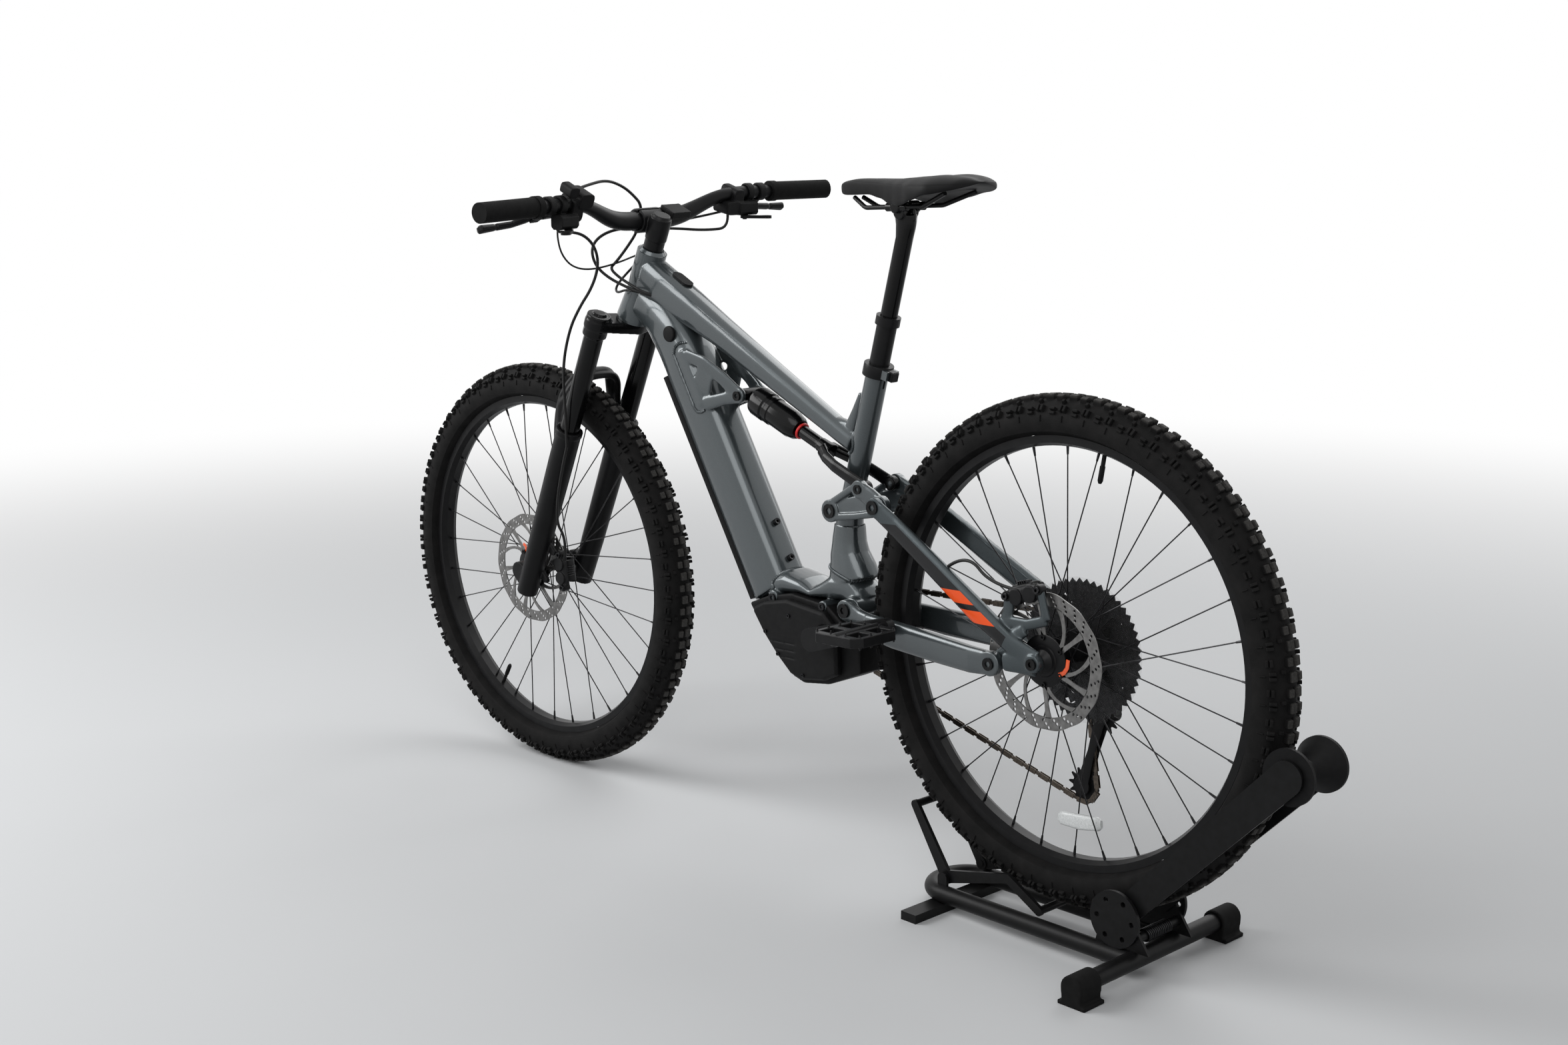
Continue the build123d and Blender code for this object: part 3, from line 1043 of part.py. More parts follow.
def roller(number):
    place = number % CHAIN_LINKS
    for kind, first, links, one, two in CHAIN_ROUTE:
        if first <= place <= first + links:
            ahead = place - first
            if kind == "run":
                share = ahead / links
                return (one[0] + share * (two[0] - one[0]), one[1] + share * (two[1] - one[1]))
            radius, angle, step = two
            return (one[0] + radius * cos(angle + step * ahead), one[1] + radius * sin(angle + step * ahead))
    return CHAIN_ROUTE[0][3]


# The angle of the first roller on a wrap: 0 the cog, 1 and 2 the pulleys, 3 the chainring.
def tooth_phase(wrap):
    kind, first, links, centre, (radius, angle, step) = CHAIN_ROUTE[2 * wrap + 1]
    return degrees(angle + step * (ceil(first) - first))


LINK_INNER = 1.1
LINK_SIDE = 1.8
LINK_OUTER = 2.6
ROLLER_LENGTH = 5.4
INNER_HEIGHT = 5.0
OUTER_HEIGHT = 8.0


def chain():
    gap = CHAIN_PITCH - ROLLER_LENGTH
    block = Box(CHAIN_PITCH + ROLLER_LENGTH, 2 * LINK_SIDE, INNER_HEIGHT) - Box(gap, 2 * LINK_INNER, 20)
    wide = (LINK_OUTER - LINK_SIDE - FIT_GAP)
    plate = Pos(0, LINK_OUTER - wide / 2, 0) * Box(CHAIN_PITCH + ROLLER_LENGTH + 1.4, wide, OUTER_HEIGHT)
    plates = pair(plate)
    links = []
    for number in range(CHAIN_LINKS):
        start, end = roller(number), roller(number + 1)
        turn = degrees(atan2(end[1] - start[1], end[0] - start[0]))
        place = Pos((start[0] + end[0]) / 2, CHAIN_Y, (start[1] + end[1]) / 2) * Rot(0, -turn, 0)
        links.append(place * (plates if number % 2 else block))
    return group(*links)


# Derailleur

CAGE_OUTER = (-57.2, -55.2)
CAGE_INNER = (-44.8, -42.8)
HANGER = (-12.0, -30.0)
LINK_X = -15.0
LINK_TOP = -50.0
LINK_FOOT = -78.0
LINK_Y = -70.0
BARREL = 3.0


def barrel(z, grow=0.0):
    return rod((LINK_X - 13, LINK_Y, z), (LINK_X + 13, LINK_Y, z), BARREL + grow)


def hanger():
    plate = slab(hull((0, 0, 17.0), (*HANGER, 11.0)), -DROPOUT_OUTER, -DROPOUT_INNER)
    block = Pos(LINK_X, LINK_Y, LINK_TOP - 3) * Box(9, 14, 18, align=BASE)
    return plate + drum(*HANGER, 11.0, -DROPOUT_INNER, LINK_Y) + block + barrel(LINK_TOP)


def derailleur_link():
    outline = hull((LINK_Y, LINK_TOP, 6.0), (LINK_Y, LINK_FOOT, 6.0))
    cheek = extrude(Plane((LINK_X + 6.0, 0, 0), x_dir=(0, 1, 0), z_dir=(1, 0, 0)) * outline, amount=6.0)
    middle = (LINK_TOP + LINK_FOOT) / 2
    bridge = Pos(LINK_X, LINK_Y - 4.5, middle) * Box(24, 3, 12)
    link = cheek + Pos(-18, 0, 0) * cheek + bridge
    return link - barrel(LINK_TOP, FIT_GAP) - barrel(LINK_FOOT, FIT_GAP)


def derailleur_knuckle():
    body = drum(*GUIDE_PULLEY, 13.0, -78.0, CAGE_OUTER[0] - RUN_GAP) + barrel(LINK_FOOT)
    body += Pos(LINK_X, LINK_Y, LINK_FOOT + 3) * Box(9, 12, 18, align=(Align.CENTER, Align.CENTER, Align.MAX))
    return body - drum(*GUIDE_PULLEY, 6.0 + FIT_GAP, -74.0, 0.0)


def derailleur_cage():
    outline = hull((*GUIDE_PULLEY, 15.0), (*TENSION_CENTRE, 17.0))
    middle = [(GUIDE_PULLEY[i] + TENSION_CENTRE[i]) / 2 for i in range(2)]
    near = [middle[i] + 0.35 * (GUIDE_PULLEY[i] - middle[i]) for i in range(2)]
    far = [middle[i] + 0.4 * (TENSION_CENTRE[i] - middle[i]) for i in range(2)]
    outline -= hull((*near, 7.0), (*far, 8.0))
    cage = slab(outline, *CAGE_OUTER) + slab(outline, *CAGE_INNER)
    cage += drum(*GUIDE_PULLEY, PULLEY_PIN, CAGE_OUTER[0], CAGE_INNER[1]) + drum(*TENSION_CENTRE, PULLEY_PIN, CAGE_OUTER[0], CAGE_INNER[1])
    return cage + drum(*GUIDE_PULLEY, 6.0, -73.0, CAGE_OUTER[0])


PULLEY_PIN = 3.0


def pulley(centre, wrap):
    wheel = toothed(PULLEY_TEETH, tooth_phase(wrap))
    wheel = slab(wheel, CHAIN_Y - 0.9, CHAIN_Y + 0.9)
    wheel += drum(0, 0, 8.0, CAGE_OUTER[1] + RUN_GAP, CAGE_INNER[0] - RUN_GAP)
    wheel -= drum(0, 0, PULLEY_PIN + FIT_GAP, -80, 0)
    return Pos(centre[0], 0, centre[1]) * wheel


# Stand, in the floor's frame

STAND_TUBE_Z = STAND_BAR_HEIGHT + STAND_TUBE_RADIUS
EAR_INNER = 48.0


def stand_frame():
    half = STAND_HALF_WIDTH
    leg = [(STAND_REAR_X, half, STAND_TUBE_Z), (STAND_FRONT_X, half, STAND_TUBE_Z)]
    hoop = pipe(leg + [(x, -y, z) for x, y, z in reversed(leg)], half - 4.0, STAND_TUBE_RADIUS)
    spread = STAND_FOOT_SPREAD / 2 - STAND_FOOT_LENGTH / 2 + 14.0
    cross = rod((STAND_REAR_X, -spread, STAND_TUBE_Z), (STAND_REAR_X, spread, STAND_TUBE_Z), STAND_TUBE_RADIUS)
    bar = Pos(STAND_BAR_X, 0, 0) * Box(STAND_BAR_WIDTH, STAND_BAR_LENGTH, STAND_BAR_HEIGHT - WELD_GAP, align=BASE)
    hoop -= rod((STAND_REAR_X, -spread, STAND_TUBE_Z), (STAND_REAR_X, spread, STAND_TUBE_Z), STAND_TUBE_RADIUS + WELD_GAP)
    ear = slab(hull((*LEVER_PIVOT, 9.0), (LEVER_PIVOT[0], STAND_TUBE_Z, 9.0)), EAR_INNER, EAR_INNER + 5)
    ear += drum(*LEVER_PIVOT, 5.0, 36.0, EAR_INNER + 5)
    return group(hoop + both_sides(ear), cross, bar)


# A moulded cap on each end of the cross tube: an arch over the tube that flares out to a flat sole.
def stand_feet():
    y = STAND_FOOT_SPREAD / 2
    inner, outer = y - STAND_FOOT_LENGTH / 2, y + STAND_FOOT_LENGTH / 2
    top = STAND_TUBE_RADIUS + 5
    arch = slab(hull((STAND_REAR_X, STAND_TUBE_Z, top), (STAND_REAR_X, 8.0, top - 2)), inner, outer)
    arch -= Pos(STAND_REAR_X, y, 0) * Box(200, 200, 100, align=(Align.CENTER, Align.CENTER, Align.MAX))
    arch += Pos(STAND_REAR_X, y, 0) * Box(2 * top + 10, STAND_FOOT_LENGTH, STAND_FOOT_SOLE, align=BASE)
    arch -= rod((STAND_REAR_X, inner - 1, STAND_TUBE_Z), (STAND_REAR_X, inner + 14.5, STAND_TUBE_Z), STAND_TUBE_RADIUS + FIT_GAP)
    return pair(arch)


SPRING_SIDES = 4
SPRING_AXIS = (-163.0, 58.0)
SPRING_ROD = 7.2
SPRING_WIRE = 1.3
SPRING_RADIUS = 9.0
SPRING_COILS = 8
SPRING_HALF = 29.0


def stand_brackets():
    low, high = ARM_INNER + ARM_THICK + RUN_GAP, ARM_INNER + ARM_THICK + RUN_GAP + 5
    x, z = ARM_PIVOT
    outline = hull((x, z, 24.0), (x + 22, STAND_TUBE_Z, 16.0), (SPRING_AXIS[0] - 14, STAND_TUBE_Z + 8, 14.0))
    plate = slab(outline, low, high)
    disc = Circle(DISC_RADIUS)
    for index in range(6):
        disc -= Rot(0, 0, 60 * index) * Pos(DISC_RADIUS - 12, 0) * Circle(4.0)
    plate += Pos(x, 0, z) * slab(disc, high, high + 5)
    half = STAND_HALF_WIDTH
    tube = rod((STAND_REAR_X - 50, half, STAND_TUBE_Z), (STAND_FRONT_X, half, STAND_TUBE_Z), STAND_TUBE_RADIUS + WELD_GAP)
    plate = plate - tube - rod((STAND_REAR_X, -300, STAND_TUBE_Z), (STAND_REAR_X, 300, STAND_TUBE_Z), STAND_TUBE_RADIUS + WELD_GAP)
    plates = both_sides(plate)
    plates += both_sides(drum(*ARM_PIVOT, 8.0, TYRE_WIDTH / 2 + 5, high))
    return plates + drum(*SPRING_AXIS, SPRING_ROD, -high, high)


# The point where two arcs meet that leave one end and reach the other along the tangents given.
def biarc_joint(start, end, leaving, arriving):
    chord = end - start
    along_both = leaving + arriving
    quadratic = 2 * leaving.dot(arriving) - 2
    linear = -2 * chord.dot(along_both)
    reach = (-linear - (linear ** 2 - 4 * quadratic * chord.dot(chord)) ** 0.5) / (2 * quadratic)
    return (start + leaving * reach + end - arriving * reach) * 0.5


# The coil is swept along pairs of arcs, a quarter turn each; the least gap to itself is measured and printed.
def stand_spring():
    pitch = 2 * SPRING_HALF / SPRING_COILS
    points, headings = [], []
    for quarter in range(4 * SPRING_COILS + 1):
        angle = quarter * pi / 2
        points.append(Vector(SPRING_RADIUS * cos(angle), pitch * quarter / 4 - SPRING_HALF, SPRING_RADIUS * sin(angle)))
        headings.append(Vector(-SPRING_RADIUS * sin(angle), pitch / (2 * pi), SPRING_RADIUS * cos(angle)).normalized())
    arcs = []
    for index in range(len(points) - 1):
        joint = biarc_joint(points[index], points[index + 1], headings[index], headings[index + 1])
        arcs.append(TangentArc(points[index], joint, tangent=headings[index]))
        arcs.append(TangentArc(joint, points[index + 1], tangent=arcs[-1] % 1))
    path = Wire([arc.edge() for arc in arcs])
    coil = sweep(Plane(points[0], z_dir=headings[0]) * RegularPolygon(SPRING_WIRE, SPRING_SIDES), path=path)
    turn = [points[index] for index in range(5)]
    gap = min((point - (point + Vector(0, pitch, 0))).length for point in turn) - 2 * SPRING_WIRE
    print("least gap between spring turns", round(gap, 2))
    return Pos(SPRING_AXIS[0], 0, SPRING_AXIS[1]) * coil


def stand_arm():
    plate = hull((*ARM_PIVOT, 20.0), (ROLLER_X, ROLLER_Z, 24.0))
    arm = both_sides(slab(plate, ARM_INNER, ARM_INNER + ARM_THICK))
    arm -= drum(*ARM_PIVOT, 8.0 + FIT_GAP, -80, 80)
    return arm + drum(ROLLER_X, ROLLER_Z, 6.0, -ARM_INNER - ARM_THICK, ARM_INNER + ARM_THICK)


def stand_rollers():
    half = ROLLER_HALF
    points = [(6.0 + FIT_GAP, -half), (ROLLER_RIM, -half), (ROLLER_RIM, 5 - half), (ROLLER_WAIST, -4), (ROLLER_WAIST, 4), (ROLLER_RIM, half - 5),
              (ROLLER_RIM, half), (6.0 + FIT_GAP, half)]
    return Pos(ROLLER_X, 0, ROLLER_Z) * turned(points)


# Two flat bars beside the tyre, bent at a knee, with a round bar across at either end.
def stand_lever():
    y, rear, knee, front = 42.0, (14.0, 47.5), (74.0, 82.0), (260.0, 152.0)
    low, high = y - 3, y + 3
    bar = slab(hull((*rear, 7.0), (*knee, 7.0)), low, high) + slab(hull((*knee, 7.0), (*LEVER_PIVOT, 10.0)), low, high)
    bar += slab(hull((*LEVER_PIVOT, 10.0), (*front, 7.0)), low, high)
    bar += drum(*LEVER_PIVOT, 10.0, 37.0, EAR_INNER - RUN_GAP)
    lever = both_sides(bar)
    for x, z in (rear, front):
        lever += drum(x, z, LEVER_ROD_RADIUS, -high, high)
    return lever - drum(*LEVER_PIVOT, 5.0 + FIT_GAP, -80, 80)


# Hoses and cables, held at both ends

HOSE_RADIUS = 2.5
HOSE_SIDES = 6
FRONT_HOSE_CLIP = (-8.0, LEG_Y + 22.0, 300.0)


# A point of the steering frame, as it stands at rest, in the bicycle's frame.
def steer_spot(x, y, z):
    place = (HEAD_FRAME * Rot(0, 0, REST_STEER) * Pos(x, y, z)).position
    return (place.X, place.Y, place.Z)


def bar_exit(distance, droop, x, y, z):
    place = (bar_frame(distance, droop) * Pos(x, y, z)).position
    return (place.X, place.Y, place.Z)


def cables():
    brake = bar_exit(LEVER_STATION, LEVER_DROOP, BAR_RADIUS + 13, 0, -60)
    gear = bar_exit(SHIFTER_STATION, SHIFTER_DROOP, BAR_RADIUS + 16, 4, -28)
    wire = bar_exit(SHIFTER_STATION, SHIFTER_DROOP, BAR_RADIUS + 10, 14, -28)
    routes = [
        ([brake, (60, 120, 715), (86, 98, 620), (74, 100, 500), (20, 100, 390), FRONT_HOSE_CLIP], HOSE_RADIUS),
        ([(brake[0], -brake[1], brake[2]), (62, -110, 700), (80, -20, 640), (52, 66, 606), (-6, 62, 602), head_port(0)], HOSE_RADIUS),
        ([(gear[0], -gear[1], gear[2]), (40, -120, 694), (64, -10, 662), (38, 56, 630), (-8, 54, 622), head_port(14)], HOSE_RADIUS),
        ([gear, (22, 130, 704), (30, 80, 668), (2, 52, 646), head_port(28)], HOSE_RADIUS),
        ([wire, (-16, 150, 752), (-20, 90, 778), (-10, 10, 770), (10, -34, 744)], 1.8),
    ]
    lines = []
    for points, radius in routes:
        line = hose_line([steer_spot(*point) for point in points], 20.0, radius)
        for held in (bar_controls(), front_hose(HOSE_RADIUS + WELD_GAP)):
            line -= HEAD_FRAME * Rot(0, 0, REST_STEER) * held
        line -= HEAD_FRAME * head_outer(WELD_GAP)
        line = line - TUBE_FRAME * down_outer(WELD_GAP) - top_outer(WELD_GAP)
        lines.append(line)
    return group(*lines)


def head_port(rise):
    return (-16.0, HEAD_TUBE_RADIUS - 12.0, AXLE_TO_CROWN + 62.0 + rise)


def front_hose(radius):
    middle = radians(FRONT_CALIPER_ANGLE)
    x, z = FORK_OFFSET + (ROTOR_RADIUS - 4) * cos(middle), (ROTOR_RADIUS - 4) * sin(middle)
    points = [FRONT_HOSE_CLIP, (-12, LEG_Y + 20, 160), (x, FRONT_ROTOR_Y + 12, z + 60), (x, FRONT_ROTOR_Y + 10, z)]
    return hose_line(points, 24.0, radius)


def front_caliper():
    body = Pos(FORK_OFFSET, 0, 0) * caliper(FRONT_ROTOR_Y, FRONT_CALIPER_ANGLE)
    space = Pos(FORK_OFFSET, 0, 0) * caliper_space(FRONT_ROTOR_Y, FRONT_CALIPER_ANGLE)
    return group(body, front_hose(HOSE_RADIUS) - space)


def rear_caliper():
    body = caliper(REAR_ROTOR_Y, REAR_CALIPER_ANGLE)
    turn = radians(REAR_CALIPER_ANGLE)
    x, z = ROTOR_RADIUS * cos(turn), ROTOR_RADIUS * sin(turn)
    points = [(x, REAR_ROTOR_Y + 6, z), (x + 62, REAR_ROTOR_Y + 8, z + 2), (x + 112, REAR_ROTOR_Y + 2, z + 44),
              (x + 150, STAY_OUTER, z + 20)]
    hose = hose_line(points, 20.0, HOSE_RADIUS)
    return group(body, hose - caliper_space(REAR_ROTOR_Y, REAR_CALIPER_ANGLE) - stay_side())


def assembly():
    battery, battery_cover = battery_parts()
    drive_unit, drive_unit_cover = drive_unit_parts()
    dropper_lower, dropper_post = post_parts()
    bicycle = {
        "head_tube": head_tube(), "top_tube": top_tube(), "down_tube": down_tube(), "seat_tube": seat_tube(),
        "motor_cradle": motor_cradle(), "battery": battery, "battery_cover": battery_cover,
        "drive_unit": drive_unit, "drive_unit_cover": drive_unit_cover, "power_button": power_button()[0],
        "dropper_lower": dropper_lower, "dropper_post": dropper_post, "saddle_rails": pair(saddle_rail()), "saddle": saddle(),
        "rear_tyre": tyre(), "rear_rim": rim(), "rear_spokes": spokes(*REAR_FLANGES), "rear_rotor": rotor(REAR_ROTOR_Y),
        "rear_hub": hub(REAR_HUB_WIDTH / 2, REAR_AXLE_RADIUS + FIT_GAP, REAR_FLANGES, REAR_ROTOR_Y, REAR_FLANGES[1] - 6),
        "wheel_plastics": wheel_plastics(), "chainstays": chainstays(), "seatstays": seatstays(), "rear_caliper": rear_caliper(),
        "rocker_link": rocker_link(), "shock_can": shock_can(), "shock_yoke": shock_yoke(),
        "crank_arms": crank_arms(tooth_phase(3)), "left_pedal": left_pedal(), "right_pedal": right_pedal(),
        "cassette": cassette(tooth_phase(0)), "chain": chain(), "derailleur_link": derailleur_link(),
        "derailleur_knuckle": derailleur_knuckle(), "derailleur_cage": derailleur_cage(),
        "guide_pulley": pulley(GUIDE_PULLEY, 1), "tension_pulley": pulley(TENSION_CENTRE, 2), "cables": cables(),
    }
    steered = {
        "fork_upper": fork_upper(), "stem": stem(), "handlebar": handlebar(), "grips": pair(grip()), "bar_controls": bar_controls(),
        "left_brake_lever": brake_lever(), "right_brake_lever": right(brake_lever()), "shift_paddle": right(thumb_paddle()),
        "remote_paddle": thumb_paddle(), "fork_lowers": fork_lowers(), "front_caliper": front_caliper(),
    }
    front_wheel = {
        "front_tyre": tyre(), "front_rim": rim(), "front_spokes": spokes(*FRONT_FLANGES), "front_rotor": rotor(FRONT_ROTOR_Y),
        "front_hub": hub(FRONT_HUB_WIDTH / 2, FRONT_AXLE_RADIUS + FIT_GAP, FRONT_FLANGES, FRONT_ROTOR_Y, FRONT_FLANGES[1] - 6),
    }
    stand = {
        "stand_frame": stand_frame(), "stand_feet": stand_feet(), "stand_brackets": stand_brackets(), "stand_lever": stand_lever(),
        "stand_arm": stand_arm(), "stand_spring": stand_spring(), "stand_rollers": stand_rollers(),
    }
    nodes = {}
    for place, pieces in ((ON_STAND, bicycle), (STEERED, steered), (FRONT_HUB, front_wheel), (ON_FLOOR, stand)):
        for name, shape in pieces.items():
            nodes[name] = place * group(shape)
    return nodes


if __name__ == "__main__":
    os.makedirs("parts", exist_ok=True)
    for name, shape in assembly().items():
        export_step(shape, f"parts/{name}.step")
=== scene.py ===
import bpy
import math
from mathutils import Matrix, Vector


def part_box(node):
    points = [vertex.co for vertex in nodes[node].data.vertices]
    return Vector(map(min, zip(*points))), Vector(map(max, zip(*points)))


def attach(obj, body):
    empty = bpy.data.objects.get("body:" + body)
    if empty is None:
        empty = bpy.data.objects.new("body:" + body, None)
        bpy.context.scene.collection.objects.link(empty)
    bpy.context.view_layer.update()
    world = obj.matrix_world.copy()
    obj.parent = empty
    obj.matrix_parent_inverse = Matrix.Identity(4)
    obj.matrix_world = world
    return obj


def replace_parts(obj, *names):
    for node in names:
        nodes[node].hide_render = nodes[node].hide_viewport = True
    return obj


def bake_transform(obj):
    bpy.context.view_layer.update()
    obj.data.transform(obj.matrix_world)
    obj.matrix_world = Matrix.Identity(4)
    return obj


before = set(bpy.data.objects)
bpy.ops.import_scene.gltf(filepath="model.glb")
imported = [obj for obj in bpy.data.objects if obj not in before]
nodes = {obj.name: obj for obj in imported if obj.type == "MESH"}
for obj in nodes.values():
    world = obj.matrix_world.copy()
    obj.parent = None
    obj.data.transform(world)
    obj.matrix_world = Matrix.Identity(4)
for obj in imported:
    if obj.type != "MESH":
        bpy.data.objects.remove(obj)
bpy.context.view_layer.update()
print("frame loaded,", len(nodes), "nodes")

# Where the groups of the bicycle stand, in metres and degrees, as in the part's source
layout = {
    "axle": Vector((-0.584953, 0.0, 0.433)), "tilt": 2.7071, "headAngle": 63.5, "wheelbase": 1.228,
    "forkOffset": 0.046, "restSteer": 2.5, "rotor": {"front": 0.0397, "rear": 0.0587},
}


def turnedBy(degreesTurned, axis):
    return Matrix.Rotation(math.radians(degreesTurned), 4, axis)


def headPlace():
    lean = math.radians(layout["headAngle"])
    forward = Vector((math.sin(lean), 0, math.cos(lean)))
    up = Vector((-math.cos(lean), 0, math.sin(lean)))
    foot = Vector((layout["wheelbase"], 0, 0)) - forward * layout["forkOffset"]
    place = Matrix((forward, Vector((0, 1, 0)), up)).transposed().to_4x4()
    place.translation = foot
    return place


onStand = Matrix.Translation(layout["axle"]) @ turnedBy(layout["tilt"], "Y")
onHead = onStand @ headPlace()
steered = onHead @ turnedBy(layout["restSteer"], "Z")
frontHub = steered @ Matrix.Translation((layout["forkOffset"], 0, 0))
onFloor = Matrix.Translation((layout["axle"].x, 0, 0))
wheels = {"front": frontHub, "rear": onStand}
leftward = onStand.to_3x3() @ Vector((0, 1, 0))


def bikeSpot(x, z, y=0):
    return onStand @ Vector((x / 1000, y, z / 1000))


def inSteering(spot):
    return steered @ (Vector(spot) / 1000)


# Shader nodes: settings first, then sockets by order or by name, each a value or a link

def fill(tree, socket, value):
    if isinstance(value, bpy.types.NodeSocket):
        tree.links.new(value, socket)
    else:
        socket.default_value = value


def addNode(tree, kind, *ordered, **named):
    node = tree.nodes.new(kind)
    for key, value in named.items():
        if key not in node.inputs:
            setattr(node, key, value)
    for socket, value in zip(node.inputs, ordered):
        fill(tree, socket, value)
    for key, value in named.items():
        if key in node.inputs:
            fill(tree, node.inputs[key], value)
    return node


def mathNode(tree, operation, first, second=0.0):
    return addNode(tree, "ShaderNodeMath", first, second, operation=operation).outputs[0]


def raysSeen(tree, *rays):
    path = addNode(tree, "ShaderNodeLightPath")
    seen = path.outputs[rays[0]]
    for ray in rays[1:]:
        seen = mathNode(tree, "MAXIMUM", seen, path.outputs[ray])
    return seen


# How fine the noise is, where its colours part, and how deep the grain is if a finish doesn't say
finishDetail = {"blotch": 4.0, "grain": 3.0, "speck": 5.0, "edges": (0.3, 0.72), "depth": 0.0001}


def makeFinish(name, look):
    material = bpy.data.materials.new(name)
    material.use_nodes = True
    tree = material.node_tree
    shader = tree.nodes["Principled BSDF"]
    for socket, value in look.get("sockets", {}).items():
        shader.inputs[socket].default_value = value
    if "specular" in look:
        shader.inputs["Specular IOR Level"].default_value = look["specular"]
    place = addNode(tree, "ShaderNodeTexCoord").outputs["Object"]
    if "stretch" in look:
        place = addNode(tree, "ShaderNodeMapping", Vector=place, Scale=look["stretch"]).outputs["Vector"]
    blotch, speckle = (addNode(tree, "ShaderNodeTexNoise", Vector=place, Scale=look[key],
                               Detail=finishDetail[key]) for key in ("blotch", "grain"))
    ramp = addNode(tree, "ShaderNodeValToRGB", Fac=blotch.outputs["Fac"])
    tints = (look["dark"], look["light"])
    for stop, share, tint in zip(ramp.color_ramp.elements, finishDetail["edges"], tints):
        stop.position = share
        stop.color = (*tint, 1)
    grain = speckle.outputs["Fac"]
    sheen = addNode(tree, "ShaderNodeMapRange", grain, 0, 1, *look["rough"])
    depth = look.get("depth", finishDetail["depth"])
    bump = addNode(tree, "ShaderNodeBump", Strength=look["bump"], Distance=depth, Height=grain)
    fill(tree, shader.inputs["Base Color"], ramp.outputs["Color"])
    fill(tree, shader.inputs["Roughness"], sheen.outputs["Result"])
    fill(tree, shader.inputs["Normal"], bump.outputs["Normal"])
    return material


